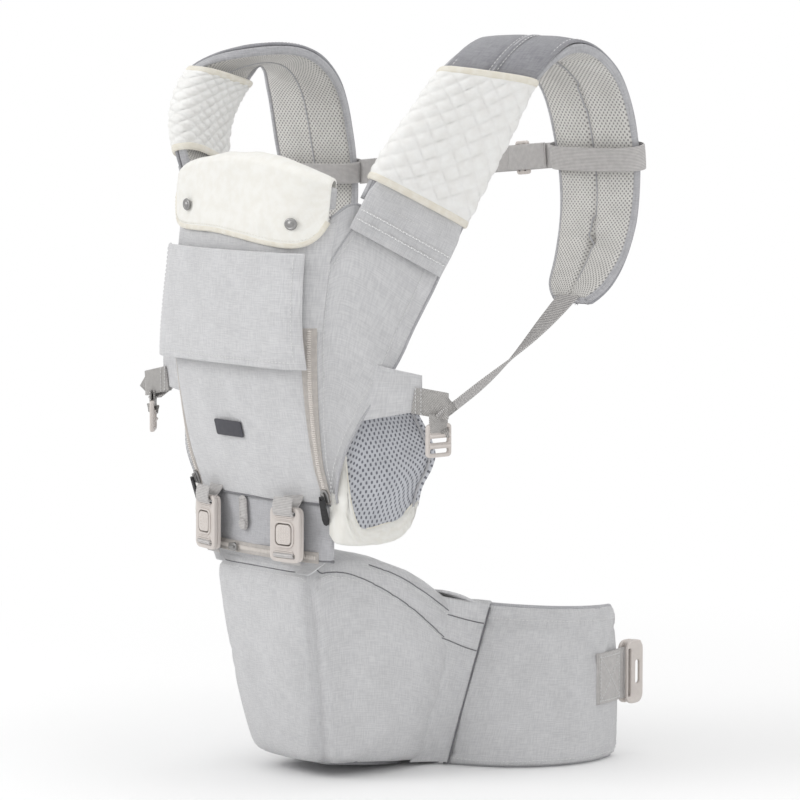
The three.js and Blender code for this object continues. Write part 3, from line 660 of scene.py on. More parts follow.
CHROME = metal("chrome", (215, 215, 216), 0.12)
COIL = moulded("zip_coil", (206, 199, 193), 0.4)
THREAD = thread("grey_thread", (238, 238, 238))
THREAD_CREAM = thread("cream_thread", (250, 248, 240))
DARK_SEAM = heather("seam_shadow", (120, 120, 124), (95, 95, 100), (140, 140, 144), 0.7, 1.0)


# ------------------------------------------------------------------------------- the design's surfaces, in mm
panel_middle = through([(215, -299), (276, -300), (319, -315), (371, -329), (413, -337), (450, -339),
                        (519, -333), (570, -326), (617, -320)])
panel_half = through([(279, 107), (319, 122), (371, 136), (450, 151), (516, 160), (570, 160)])
side_top = through([(0, 553), (0.28, 566), (1, 512)])


def panel_surface(x, z):
    side = np.maximum(0, np.abs(x) - 80)
    return stack(x, panel_middle(z) + x * x * 0.0013 + 0.0172 * smooth(z, 275, 430) * side * side, z)


def panel_frame(x, z):
    """A point of the panel's outside with the directions across, up and out of it."""
    x, z = np.asarray(x, float), np.asarray(z, float)
    step = 0.5
    across = unit(panel_surface(x + step, z) - panel_surface(x - step, z))
    up = unit(panel_surface(x, z + step) - panel_surface(x, z - step))
    return panel_surface(x, z), across, up, unit(np.cross(across, up))


def panel_point(x, z, out=0.0):
    p, _, _, normal = panel_frame(x, z)
    return p + normal * np.asarray(out, float)[..., None]


def on_panel(x, z, out):
    """A placement `out` mm above the panel's outside."""
    _, across, up, _ = panel_frame(x, z)
    return frame_at(panel_point(x, z, out), across, up)


def zip_x(z):
    return ZIP["x"] + 0.03 * (z - PANEL["foot"])


def belt_point(angle, out, z):
    a = np.radians(angle)
    normal = unit(stack(np.cos(a) / BELT["x"], np.sin(a) / BELT["y"], 0 * a))
    return stack(BELT["x"] * np.cos(a), BELT["y"] * np.sin(a), z) + normal * np.asarray(out, float)[..., None]


def seam_angle(w):
    return lerp(-66, -48, w)


seat_half = through([(0, 82), (0.25, 89), (0.6, 96), (1, 92)])
seat_top = through([(0, 213), (0.1, 220), (0.25, 224), (0.42, 218), (0.6, 205), (0.78, 187), (1, 164)])


def seat_point(u, v, w, out=0.0):
    """A point of the hip seat: u across, v from its front to the belt, w up; `out` stands proud of it."""
    u, v, w = np.broadcast_arrays(np.asarray(u, float), v, w)
    front = lerp(SEAT["foot"], SEAT["front"], w ** 0.8) - out
    across = (u - 0.5) * 2
    bulge = 1 + 0.05 * np.sin(math.pi * w) - (0.28 + 0.12 * v * v) * (1 - w)
    x = across * (seat_half(v) * bulge + out)
    lean = SEAT["clear"] - out
    rear = -(BELT["y"] + lean) * np.sqrt(np.clip(1 - (x / (BELT["x"] + lean)) ** 2, 0, 1))
    z = lerp(SEAT["toe"] * (1 - v), seat_top(v) + out, w)
    return stack(x, lerp(front, rear, v) + np.abs(across) ** 4 * 3 * (1 - v), z)


def head_top(x):
    return HEAD["top"] - 18 * (np.abs(x) / HEAD["half"]) ** 2.6 - 5 * smooth(x, 0.0, 110.0)


def bib_foot(x):
    return 537 - 12 * smooth(x, -40.0, 90.0) + 34 * (np.abs(x) / HEAD["half"]) ** 12


def head_point(x, z, out=0.0):
    at = np.asarray(x, float) + HEAD["shift"]
    side = np.maximum(0, np.abs(at) - 80)
    y = panel_middle(z) + 0.0013 * at ** 2 + 0.006 * side * side
    slope = 0.0026 * at + 0.012 * side * np.sign(at)
    return stack(at, y, z) + unit(stack(slope, -1, 0)) * np.asarray(out, float)[..., None]


STRAP = {"core": 11.0, "skin": 2.4, "half": 46.0}
STATIONS = {
    "right": ((143, -229, 541, 0.36, 0.8, -0.48, 100), (152, -206, 588, 0.38, 0.8, -0.44, 98),
              (166, -178, 640, 0.45, 0.8, -0.3, 92), (177, -152, 686, 0.55, 0.8, -0.14, 88),
              (186, -116, 712, 0.72, 0.66, -0.05, 86), (192, -80, 706, 0.86, 0.48, 0, 86),
              (196, -48, 674, 0.93, 0.35, 0, 86), (197, -30, 616, 0.95, 0.3, 0, 86),
              (196, -26, 560, 0.95, 0.3, 0, 80), (195, -36, 512, 0.96, 0.26, 0, 74),
              (194, -60, 470, 0.97, 0.24, 0, 56)),
    "left": ((-143, -229, 541, -0.36, 0.8, -0.48, 100), (-146, -248, 590, -0.44, 0.84, -0.3, 90),
             (-152, -246, 640, -0.36, 0.9, -0.2, 86), (-162, -214, 681, -0.3, 0.93, -0.2, 84),
             (-174, -160, 698, -0.74, 0.64, -0.16, 83), (-183, -113, 694, -0.96, 0.12, -0.18, 85),
             (-190, -84, 666, -0.94, -0.27, -0.06, 87), (-191, -70, 612, -0.92, -0.38, 0, 87),
             (-191, -62, 560, -0.92, -0.38, 0, 82), (-190, -66, 512, -0.94, -0.34, 0, 74),
             (-189, -84, 470, -0.95, -0.3, 0, 56)),
}


def strap_frame(word):
    """at(s, across, out): a point of a strap, s from its seam to its tip. `out` is away from the wearer."""
    rows = STATIONS[word]
    knots = np.linspace(0, 1, len(rows))
    tracks = [through(list(zip(knots, (row[k] for row in rows)))) for k in range(7)]
    sign = -1 if word == "right" else 1

    def middle(s):
        inside = stack(*(track(np.clip(s, 0, 1)) for track in tracks[:3]))
        before = stack(*(track(0.03) - track(0) for track in tracks[:3])) / 0.03
        return inside + np.minimum(s, 0)[..., None] * before

    def at(s, across, out):
        s = np.asarray(s, float)
        along = unit(middle(np.clip(s, 0, 0.99) + 0.01) - middle(np.clip(s, 0.01, 1) - 0.01))
        side = unit(stack(*(track(s) for track in tracks[3:6])))
        normal = unit(np.cross(along, side)) * sign
        # The strap's tip is round.
        tip = 1 - 0.36 * np.clip((s - 0.95) / 0.05, 0, 1) ** 2.5
        reach = np.asarray(across * tip * tracks[6](s) / 2)
        return middle(s) + side * reach[..., None] + normal * np.asarray(out, float)[..., None]

    return at


def wing_path(sign):
    """Where a side tab leaves the panel's edge, and the way to its tip."""
    edge = panel_point(sign * 136.0, 388.0, -1.5)
    tip = vec(179, -224, 378) if sign > 0 else vec(-196, -270, 374)
    return edge, tip - edge


leg_x = through([(-0.2, 101), (0, 110), (0.4, 130), (1, 147), (1.1, 149)])
leg_y = through([(-0.2, -297), (0, -285), (0.4, -250), (1, -196), (1.1, -187)])
liner_top = through([(-0.16, 335), (0.1, 350), (0.28, 369), (1, 369)])
liner_foot = through([(-0.16, 262), (0.3, 250), (0.6, 258), (0.8, 276), (1, 290)])
liner_reach = through([(0, 0.8), (0.16, 0.85), (0.3, 0.96), (0.45, 1.0), (0.7, 0.93), (1, 0.78)])
pad_foot = through([(-0.16, 262), (-0.08, 250), (0, 242), (0.3, 240), (0.6, 246), (0.74, 258), (0.84, 281)])
pad_top = through([(-0.16, 352), (0.0, 349), (0.07, 340), (0.105, 306), (0.14, 280), (0.2, 261), (0.3, 256),
                   (0.42, 259), (0.6, 264), (0.72, 273), (0.84, 284)])


def leg_point(sign, s, z, out=0.0):
    """A point of the leg opening's curved side, s from the panel's edge to the free edge."""
    step = 0.01
    way = unit(stack(leg_x(s + step) - leg_x(s - step), leg_y(s + step) - leg_y(s - step), 0 * s))
    normal = stack(way[..., 1], -way[..., 0], 0)
    p = stack(leg_x(s), leg_y(s), z) + normal * np.asarray(out, float)[..., None]
    return p * vec(sign, 1, 1)


# ------------------------------------------------------------------------------- hip seat
def seat_box():
    """The seat's cover before its seams: six crowned faces that meet in round edges."""
    n = (22, 18, 16)
    box = bmesh.new()
    rows = [np.linspace(0, 1, k + 1) for k in n]
    ids = {}

    def vertex(i, j, k):
        if (i, j, k) not in ids:
            u, v, w = rows[0][i], rows[1][j], rows[2][k]
            # Foam under tight cloth: edges are round, and each face is crowned between them.
            soft = [math.sin(math.pi * t) for t in (u, v, w)]
            crown = 2.6 * (soft[0] * soft[1] + soft[0] * soft[2] + soft[1] * soft[2]) / 2
            round_off = 5.0 * max((1 - a) ** 6 * (1 - b) ** 6 for a, b in
                                  ((soft[0], soft[1]), (soft[0], soft[2]), (soft[1], soft[2])))
            p = seat_point(u, v, max(w, 0.03), crown - round_off + 0.8)
            # The front's upright edges are rounder than the rest.
            bend = 9.0 * ((1 - soft[0]) * (1 - soft[1])) ** 2.5 * (v < 0.5)
            p = p + vec(-math.copysign(bend, u - 0.5), bend, 0)
            ids[i, j, k] = box.verts.new(metres(p))
        return ids[i, j, k]

    uv = box.loops.layers.uv.new("mm")
    size = (180.0, 150.0, 210.0)
    for fixed in range(3):
        a, b = [k for k in range(3) if k != fixed]
        for end in (0, n[fixed]):
            for i in range(n[a]):
                for j in range(n[b]):
                    corners = []
                    for di, dj in ((0, 0), (1, 0), (1, 1), (0, 1)):
                        key = [0, 0, 0]
                        key[fixed], key[a], key[b] = end, i + di, j + dj
                        corners.append((vertex(*key), key))
                    face = box.faces.new([c[0] for c in corners])
                    for loop, (_, key) in zip(face.loops, corners):
                        loop[uv].uv = (key[a] / n[a] * size[a], key[b] / n[b] * size[b])
    bmesh.ops.recalc_face_normals(box, faces=box.faces)
    bmesh.ops.subdivide_edges(box, edges=box.edges, cuts=1, use_grid_fill=True, smooth=0.6)
    mesh = bpy.data.meshes.new("hip_seat_cover")
    box.to_mesh(mesh)
    box.free()
    mesh.materials.append(GREY)
    mesh.shade_smooth()
    cover = bpy.data.objects.new("hip_seat_cover", mesh)
    bpy.context.scene.collection.objects.link(cover)
    return cover


def make_seat():
    cover = seat_box()
    # Sewn seams: along the front's top edge, and two across each side.
    v = np.linspace(0, 1, 30)
    seams = [seat_point(np.linspace(0.02, 0.98, 30), 0.0, 1.0, -2.0)]
    front_seam = lambda side: (side, v * 0.94, 0.985 - 0.27 * v)
    rear_seam = lambda side: (side, lerp(0.36, 0.94, v), lerp(0.97, 0.88, v))
    for side in (0, 1):
        seams.append(seat_point(*front_seam(side), 1.0))
        seams.append(seat_point(*rear_seam(side), 1.5))
    cling = shrink_to(cover)
    seams = [cling(path, 0.0)[0] for path in seams]
    groove(cover, seams, 1.3, 2.4)
    seam_points = np.concatenate(seams)

    def pinned(p):
        near = np.zeros(len(p), bool)
        for q in seam_points:
            near |= np.linalg.norm(p - q, axis=1) < 4.5
        return near | (p[:, 2] < 14) | (p[:, 1] > -BELT["y"] * 1.02)

    inflate(cover, pinned, 1.2, 0.012, 3.5, 12, 20)
    finish_piece(cover, "hip_seat", "grey_fabric", "seat_cover", "seat_foam", "seat_board")
    cling = shrink_to(cover)
    cords = [cord("c", cling(resample(path, 3)[0], 0.1)[0], 0.6, DARK_SEAM) for path in seams]
    finish_piece(merge("seat_piping", cords), "hip_seat", "grey_fabric")
    rows = [sew(cling, seat_point(side, seam(side)[1], seam(side)[2] - 0.022, 1.0))
            for side in (0, 1) for seam in (front_seam, rear_seam)]
    rows.append(sew(cling, seat_point(np.linspace(0.06, 0.94, 30), 0.0, 0.965, 0.5)))
    finish_piece(merge("seat_stitching", rows), "hip_seat", "grey_fabric")

    base = pad("seat_base_panel", lambda u, v: seat_point(u, v, 0.0, -18.0) + vec(0, 0, 2.9), (14, 12),
               (150, 130), 2.6, GREY_DARK, 2.4)
    finish_piece(base, "hip_seat", "dark_grey_fabric", "seat_base")

    u0, w0 = 0.43, 0.76
    at = seat_point(u0, 0.0, w0, 2.0)
    across = seat_point(u0 + 0.04, 0.0, w0) - seat_point(u0 - 0.04, 0.0, w0)
    up = seat_point(u0, 0.0, w0 + 0.04) - seat_point(u0, 0.0, w0 - 0.04)
    spot = frame_at(at, across, up)
    label = plate("seat_patch", [round_rect(42, 13, 1.6)], 1.5, 0.4, spot, LABEL_BLACK)
    finish_piece(label, "hip_seat", "label", "seat_label")


# ------------------------------------------------------------------------------- waist belt
def splayed(points, sign):
    """Mirrors the right half of the belt and turns it open about its seam."""
    if sign > 0:
        return points
    a = np.radians(-57)
    hinge = stack(BELT["x"] * np.cos(a), BELT["y"] * np.sin(a), 0)
    turn = -math.radians(BELT["splay"])
    q = points - hinge
    c, s = math.cos(turn), math.sin(turn)
    q = stack(q[..., 0] * c - q[..., 1] * s, q[..., 0] * s + q[..., 1] * c, q[..., 2]) + hinge
    return q * vec(-1, 1, 1)


def make_belt(word, sign):
    end, half = BELT["end"], BELT["thick"] / 2

    def surface(u, w, out=0.0):
        angle = lerp(seam_angle(w) + 0.8, end + 2.5, u)
        top = lerp(BELT["seam_top"], BELT["end_top"], u)
        # The belt's free end is cut round at both corners.
        corner = 7 * smooth(u, 0.93, 1.0) ** 2
        z = lerp(0.6 + corner, top - corner, w)
        return splayed(belt_point(angle, out, z), sign)

    # A sewn row runs along the belt below its top edge.
    cover = pad(f"belt_{word}", surface, (52, 34), (215, 160), lambda u, w: half * (0.93 - 0.12 * u), GREY,
                9.0,
                front=lambda u, w, p: -0.5 * np.exp(-((w - 0.9) / 0.012) ** 2), out=sign)

    def pinned(p):
        top = lerp(BELT["seam_top"], BELT["end_top"], 0.4)
        return (p[:, 2] < 3) | (p[:, 2] > top - 4) | (np.abs(p[:, 2] - 0.9 * 158) < 1.6)

    inflate(cover, pinned, 0.5, 0.02, 3.0, 14, 16)
    finish_piece(cover, f"belt_{word}", "grey_fabric", f"belt_cover_{word}", f"belt_foam_{word}")

    us, ws = np.linspace(0.0, 1.0, 60), np.linspace(0, 1, 24)
    edges = [sweep("b", surface(us, 1 + 0 * us), vec(0, 0, 1), flat_section(5, 3.4), BINDING),
             sweep("b", surface(us, 0 * us), vec(0, 0, 1), flat_section(6, 3.8), BINDING),
             cord("b", surface(1 + 0 * ws, ws), 1.7, BINDING), cord("b", surface(0 * ws, ws), 1.2, BINDING)]
    finish_piece(merge(f"belt_binding_{word}", edges), f"belt_{word}", "grey_fabric")
    inner = surface(us, np.full(60, 0.972), -half * 0.55)
    rim = sweep(f"belt_rim_{word}", inner, vec(0, 0, 1), flat_section(7, 2.2), GREY_DARK)
    finish_piece(rim, f"belt_{word}", "dark_grey_fabric")
    cling = shrink_to(cover)
    rows = [sew(cling, surface(us, np.full(60, level), out))
            for level, out in ((0.925, half), (0.045, half), (0.925, -half))]
    finish_piece(merge(f"belt_stitching_{word}", rows), f"belt_{word}", "grey_fabric")
    make_gusset(word, sign, surface)


def make_gusset(word, sign, belt_surface):
    """The seat's cloth runs on from its sides and its top to the belt."""
    half = BELT["thick"] / 2
    side = 1.0 if sign > 0 else 0.0

    def surface(u, w):
        """A curve from the seat's side to the belt's outer face, in line with both."""
        # Past w = 1 the cloth turns inward over the top.
        over = np.maximum(w - 1, 0)
        high = np.minimum(w, 1)
        at_u = side - sign * over * 0.5
        # Its first edge is tucked under the seat's cover, most of all at the rounded top and foot.
        tuck = -1.6 - 4.5 * smooth(w, 0.78, 1.0) - 4.0 * (1 - smooth(w, 0.0, 0.12))
        start = seat_point(at_u, 0.84, high, tuck)
        way_out = seat_point(at_u, 0.87, high, tuck + 1.8) - start
        reach = half + 0.9 - over * 70
        end = belt_surface(0.03 + 0 * u, high, reach) + stack(0, 0, np.minimum(over * 30, 1.5))
        way_in = belt_surface(0.06 + 0 * u, high, reach) - belt_surface(0.03 + 0 * u, high, reach)
        chord = np.linalg.norm(end - start, axis=-1)[..., None]
        t = u[..., None]
        return (start * (1 + 2 * t) * (1 - t) ** 2 + unit(way_out) * chord * t * (1 - t) ** 2
                + end * t * t * (3 - 2 * t) - unit(way_in) * chord * t * t * (1 - t))

    cloth = pad(f"seat_gusset_{word}", lambda u, w: surface(u, lerp(0.015, 1.2, w)), (24, 52), (40, 190), 1.2,
                GREY, 1.2, front=lambda u, v, p: wrinkle(p, 30, 1.0, 3.0), out=sign)
    k = np.linspace(0.01, 0.99, 60)
    edge = cord(f"seat_gusset_piping_{word}", belt_surface(0.035 + 0 * k, k, half + 1.4), 1.0, DARK_SEAM)
    finish_piece(edge, f"belt_{word}", "grey_fabric")
    cling = shrink_to(cloth)
    lines = [cord("c", cling(surface(k, lerp(a, b, k)) + vec(sign * 2.5, -2.5, 0), 0.1)[0], 0.6, DARK_SEAM)
             for a, b in ((0.745, 0.72), (0.9, 0.89))]
    seams = merge(f"seat_gusset_seams_{word}", lines)
    start = seat_point(side, 0.88, 0.5)
    end = belt_surface(np.array([0.05]), np.array([0.5]), 0.0)[0]
    for piece in (cloth, seams):
        bend_piece(piece, start, end)


def resize(rows, count):
    """Rows of vectors stretched or shrunk to a count."""
    at = np.linspace(0, 1, count)
    old = np.linspace(0, 1, len(rows))
    return unit(np.stack([np.interp(at, old, rows[:, k]) for k in range(rows.shape[1])], -1))


def make_tummy_pad():
    def surface(u, w, out=0.0):
        angle = lerp(-180 - seam_angle(w) + 2, seam_angle(w) - 2, u)
        top = BELT["seam_top"] - 5 + 3 * np.sin(math.pi * u)
        return belt_point(angle, np.asarray(out - 1.0) + 0 * u, lerp(0.6, top, w))

    middle = pad("tummy_pad_cover", surface, (40, 30), (200, 160), 6.3, GREY_DARK, 8.0)
    finish_piece(middle, "hip_seat", "dark_grey_fabric", "tummy_pad")

    def bridge(u, v):
        """The seat's top runs on to the belt's top edge."""
        start = seat_point(lerp(0.03, 0.97, u), 0.86 + 0 * v, 1.0, 0.4)
        end = belt_point(lerp(-180 - seam_angle(1.0), seam_angle(1.0), u), 6.0 + 0 * u,
                         BELT["seam_top"] - 1.0)
        return start + (end - start) * v[..., None] + stack(0, 0, 2.5 * np.sin(math.pi * v))

    top = pad("seat_top_bridge", bridge, (40, 12), (180, 40), 1.2, GREY, 1.2)
    finish_piece(top, "hip_seat", "grey_fabric")
    us = np.linspace(0, 1, 50)
    edges = [sweep("b", surface(us, np.full(50, level), 0.0), vec(0, 0, 1), flat_section(5, 3.4), BINDING)
             for level in (0.0, 1.0)]
    finish_piece(merge("tummy_pad_binding", edges), "hip_seat", "grey_fabric")


def make_fold_cloth():
    """The strip of cloth that joins the panel's foot to the seat's front edge."""
    def strip(u, v):
        low = seat_point(lerp(0.05, 0.95, u), 0.03 + 0 * v, 0.97, -2.0)
        high = panel_point(lerp(-101, 101, u), 228.0 + 0 * v, -3.4)
        return low + (high - low) * v[..., None] + stack(0, 2.0 * np.sin(math.pi * v), 0)

    cloth = pad("panel_fold_cloth", strip, (60, 16), (190, 24), 1.0, GREY, 1.0,
                front=lambda u, v, p: wrinkle(p, 16, 1.2, 4.0) * np.sin(math.pi * v))
    bend_piece(cloth, vec(0, -299, 208), vec(0, -299, 226))


WAIST_WEB = {"z": 84.0, "wide": 52.0, "patch": 46.0, "right": 12.0, "left": 74.0, "turn_out": 18.0}


def waist_web(word, sign):
    """A function along the waist webbing, in mm from where it is sewn on, and its whole length."""
    half, end = BELT["thick"] / 2, BELT["end"]
    lift = half + 1.4
    e0, e1 = belt_point(end, half, 0.0), belt_point(end + 1, half, 0.0)
    way = (e1 - e0)[:2]
    turn = math.radians(-WAIST_WEB["turn_out"])
    way = unit(stack(way[0] * math.cos(turn) - way[1] * math.sin(turn),
                     way[0] * math.sin(turn) + way[1] * math.cos(turn), 0))
    normal = stack(way[1], -way[0], 0)

    def at(t, out, z):
        t, out, z = np.broadcast_arrays(np.asarray(t, float), out, z)
        on = belt_point(lerp(end - 18, end, np.minimum(t / WAIST_WEB["patch"], 1)), lift + out, z)
        start = belt_point(end, lift, 0.0)
        off = start + way * (t - WAIST_WEB["patch"])[..., None] + normal * out[..., None] + stack(0, 0, z)
        return splayed(np.where((t < WAIST_WEB["patch"])[..., None], on, off), sign)

    return at, WAIST_WEB["patch"] + WAIST_WEB[word]


def make_waist_webbing(word, sign):
    at, length = waist_web(word, sign)
    z0, half = WAIST_WEB["z"], WAIST_WEB["wide"] / 2
    t = np.linspace(0, length, 40)
    middle = WEB["thick"] / 2
    up = vec(0, 0, 1)
    strip = sweep("w", at(t, middle, z0), up, flat_section(2 * half, WEB["thick"]), WEBBING)
    # The sewn end is folded under, so it is double there.
    fold = sweep("w", at(np.linspace(1, WAIST_WEB["patch"] - 1, 12), middle + 1.5, z0), up,
                 flat_section(2 * half - 1, WEB["thick"]), WEBBING)
    finish_piece(merge(f"waist_webbing_{word}", [strip, fold]), f"belt_{word}", "webbing",
                 f"belt_webbing_{word}")
    # A box with a cross is sewn through the fold.
    out = middle + 2.6
    low, high = 3.5, WAIST_WEB["patch"] - 4
    corners = [(low, -half + 4), (high, -half + 4), (high, half - 4), (low, half - 4)]
    order = ((0, 1), (1, 2), (2, 3), (3, 0), (0, 2), (1, 3))
    lines = [(corners[a], corners[b]) for a, b in order]
    normal = unit(at(15.0, 9.0, z0) - at(15.0, 0.0, z0))
    rows = []
    for (t0, a), (t1, b) in lines:
        k = np.linspace(0, 1, 12)
        rows.append(stitches("s", at(lerp(t0, t1, k), out, z0 + lerp(a, b, k)), normal, THREAD, 3.4, 2.4,
                             0.45))
    finish_piece(merge(f"waist_box_stitch_{word}", rows), f"belt_{word}", "webbing")


def make_waist_buckles():
    tall = WAIST_WEB["wide"] + 12
    for word, sign in SIDES:
        at, length = waist_web(word, sign)
        z0, middle = WAIST_WEB["z"], WEB["thick"] / 2
        along = at(length + 5.0, middle, z0) - at(length - 5.0, middle, z0)
        place = frame_at(at(length + (8.0 if sign > 0 else -8.0), middle, z0), along, vec(0, 0, 1))
        if word == "right":
            # The socket is two shells round a mouth, with a bar that the webbing's loop runs round.
            outer = round_rect(26, tall, 9)
            slot = round_rect(4.6, tall - 15, 2, -8.6)
            window = round_rect(7, 24, 3, 4)
            shells = [plate("p", [outer, slot, window], 3.4, 1.1, place, PLASTIC, y) for y in (-4.7, 4.7)]
            cheeks = [plate("p", [round_rect(20, 8.5, 3.5, 3, k * (tall / 2 - 5))], 9.5, 1.2, place, PLASTIC)
                      for k in (-1, 1)]
            spine = plate("p", [round_rect(3.2, tall - 18, 1.4, -4.2)], 9, 0.8, place, PLASTIC)
            finish_piece(merge("waist_socket_shell", shells + cheeks + [spine]), "waist_socket",
                         "buckle_plastic",
                         "waist_buckle_socket")
            loop = put(place, [(-14, 0.6, 0), (-11, -0.6, 0), (-8.4, -1.2, 0), (-6.6, 0, 0), (-8.4, 1.2, 0),
                               (-11, 2.2, 0)])
            web = sweep("waist_loop_right", loop, vec(0, 0, 1), flat_section(46, 1.6), WEBBING)
            finish_piece(web, "belt_right", "webbing")
        else:
            # The clip is two shells with a pair of prongs.
            outer = round_rect(24, tall, 6)
            slots = [round_rect(4.6, tall - 14, 2, k) for k in (-5.2, 5.2)]
            faces = [plate("p", [outer] + slots, 3.0, 1.0, place, PLASTIC, y) for y in (-4.0, 4.0)]
            cheeks = [plate("p", [round_rect(22, 5.4, 2.4, 0, k * (tall / 2 - 3.2))], 8, 1, place, PLASTIC)
                      for k in (-1, 1)]
            prongs = []
            for k in (-1, 1):
                z = k * (tall / 2 - 6)
                shape = [(6, z - 4), (26, z - 4), (33, z - 1.5 * k - 1), (34, z + 1.5), (28, z + 4),
                         (6, z + 4)]
                prongs.append(plate("p", [shape], 5, 1.2, place, PLASTIC))
            finish_piece(merge("waist_clip_body", faces + cheeks + prongs), "waist_clip", "buckle_plastic",
                         "waist_buckle_clip")


# ------------------------------------------------------------------------------- front panel
def sheet(name, x_at, z_at, rows, sizes, half, material, out=0.0, edge=1.3, front=None, back=None):
    """A layer on the panel's surface; x_at(u, z) and z_at(u, v) lay it out, `out` is its middle."""
    def surface(u, v):
        z = z_at(u, v)
        return panel_point(x_at(u, z), z, out + 0 * u)
    return pad(name, surface, rows, sizes, half, material, edge, front=front, back=back)


def panel_line(x, z, out):
    return panel_point(np.asarray(x, float), np.asarray(z, float), out)


def make_panel():
    level = lambda u, v: lerp(PANEL["foot"] - 1, PANEL["top"], v)
    width = lambda z: zip_x(z) - ZIP["wide"] / 2 + 2.0

    def gathers(u, v, p):
        """The cloth hangs in soft upright folds above the seam at its foot."""
        folds = wrinkle(p, 46, 5.0, 3.0, (1, 1, 0.28)) + wrinkle(p, 22, 1.3, 9.0, (1, 1, 0.6))
        return folds * (1 - 0.6 * v) * smooth(v, -0.05, 0.08) * smooth(np.minimum(u, 1 - u), 0, 0.15) + 0.6

    front = sheet("panel_centre", lambda u, z: lerp(-1, 1, u) * width(z), level, (56, 60), (190, 270), 1.1,
                  GREY,
                  -1.4, front=gathers, back=lambda u, v, p: 0 * u - 0.2)
    finish_piece(front, "panel", "grey_fabric", "panel_front")

    lining = sheet("panel_mesh_lining", lambda u, z: lerp(-1, 1, u) * np.minimum(panel_half(z) - 8, 131),
                   lambda u, v: lerp(PANEL["foot"], PANEL["top"] - 13, v), (44, 44), (250, 260), 4.6, MESH,
                   -9.6, 4.5,
                   back=lambda u, v, p: -1.2 * np.cos(u * math.pi * 6) * smooth(v, 0, 0.2))
    finish_piece(lining, "panel", "spacer_mesh", "panel_lining")

    for word, sign in SIDES:
        edge_x = lambda z: np.maximum(panel_half(z), zip_x(z) + ZIP["wide"] / 2 + 4.5)
        x_at = lambda u, z, s=sign: s * lerp(zip_x(z) + ZIP["wide"] / 2 - 2.0, edge_x(z), u)
        z_at = lambda u, v: lerp(PANEL["foot"] - 1, side_top(u), v)
        slack = lambda u, v, p: wrinkle(p, 38, 2.4, 5.0, (1, 1, 0.5)) * smooth(np.minimum(u, 1 - u), 0, 0.3)
        side = sheet(f"panel_side_cloth_{word}", x_at, z_at, (24, 60), (52, 280), 1.1, GREY, -1.4,
                     front=slack)
        finish_piece(side, "panel", "grey_fabric", f"panel_side_{word}")
        z = np.linspace(PANEL["foot"] + 2, float(side_top(1.0)), 70)
        rim = cord("c", panel_line(sign * (edge_x(z) + 0.3), z, -1.0), 1.5, BINDING)
        x = np.linspace(0, 1, 24)
        top_edge = panel_line(sign * lerp(zip_x(549) + 4, panel_half(540), x), side_top(x), -1.0)
        crown = cord("c", top_edge, 1.4, BINDING)
        # A seam runs down from the strap's root to the zip.
        k = np.linspace(0, 1, 24)
        seam = panel_line(sign * lerp(129, zip_x(509) + 7, k), lerp(560, 509, k), -0.1)
        yoke = cord("c", seam, 0.8, DARK_SEAM)
        finish_piece(merge(f"panel_side_piping_{word}", [rim, crown, yoke]), "panel", "grey_fabric")
        lines = [panel_line(sign * lerp(131, zip_x(505) + 8, k), lerp(555, 504, k), 0.3),
                 panel_line(sign * (edge_x(z[:-4]) - 5.5), z[:-4], 0.2),
                 panel_line(sign * (zip_x(z[:-4]) + 8.5), z[:-4], 0.3)]
        rows = [stitches("s", line, vec(sign * 0.4, -0.9, 0), THREAD) for line in lines]
        finish_piece(merge(f"panel_side_stitching_{word}", rows), "panel", "grey_fabric")
    make_zips()

    # The band at the foot, quilted in two rows, with the dark seam above it.
    band = sheet("panel_foot_band", lambda u, z: lerp(-1, 1, u) * 103, lambda u, v: lerp(223, 278, v),
                 (60, 22),
                 (206, 55), 1.9, GREY_MID, -3.0, 1.8,
                 front=lambda u, v, p: 1.0 * np.abs(np.sin(v * math.pi * 2)) + wrinkle(p, 20, 1.2, 7.0))
    finish_piece(band, "panel", "grey_fabric", "panel_band")
    x = np.linspace(-104, 104, 60)
    seam = cord("c", panel_line(x, 278.5 + 0 * x, 0.2), 1.3, DARK_SEAM)
    low = cord("c", panel_line(x, 223.5 + 0 * x, -2.0), 1.6, BINDING)
    finish_piece(merge("panel_foot_seam", [seam, low]), "panel", "grey_fabric")

    label = plate("panel_patch", [round_rect(42, 16, 1.8)], 1.5, 0.4, on_panel(-5.0, 347.0, 2.6), LABEL)
    finish_piece(label, "panel", "label", "panel_label")


def coil(points, across, along, out, height):
    """A zip's teeth: at each point a short barrel across the tape, its ends drawn in."""
    verts, faces = [], []
    for p, side, way, up in zip(points, across, along, out):
        rings = []
        for t, r in ((-2.1, 0.35), (-1.2, 0.75), (1.2, 0.75), (2.1, 0.35)):
            rings.append(len(verts))
            for a in np.arange(6) * math.pi / 3:
                verts.append(p + side * t + way * (math.cos(a) * r) + up * (height + math.sin(a) * r * 0.8))
        for a, b in zip(rings, rings[1:]):
            faces += [(a + j, a + (j + 1) % 6, b + (j + 1) % 6, b + j) for j in range(6)]
        faces += [tuple(rings[0] + j for j in range(6))[::-1], tuple(rings[-1] + j for j in range(6))]
    return make("coil", np.array(verts), faces, COIL, np.zeros((len(verts), 2)))


TOOTH_PITCH = 2.1


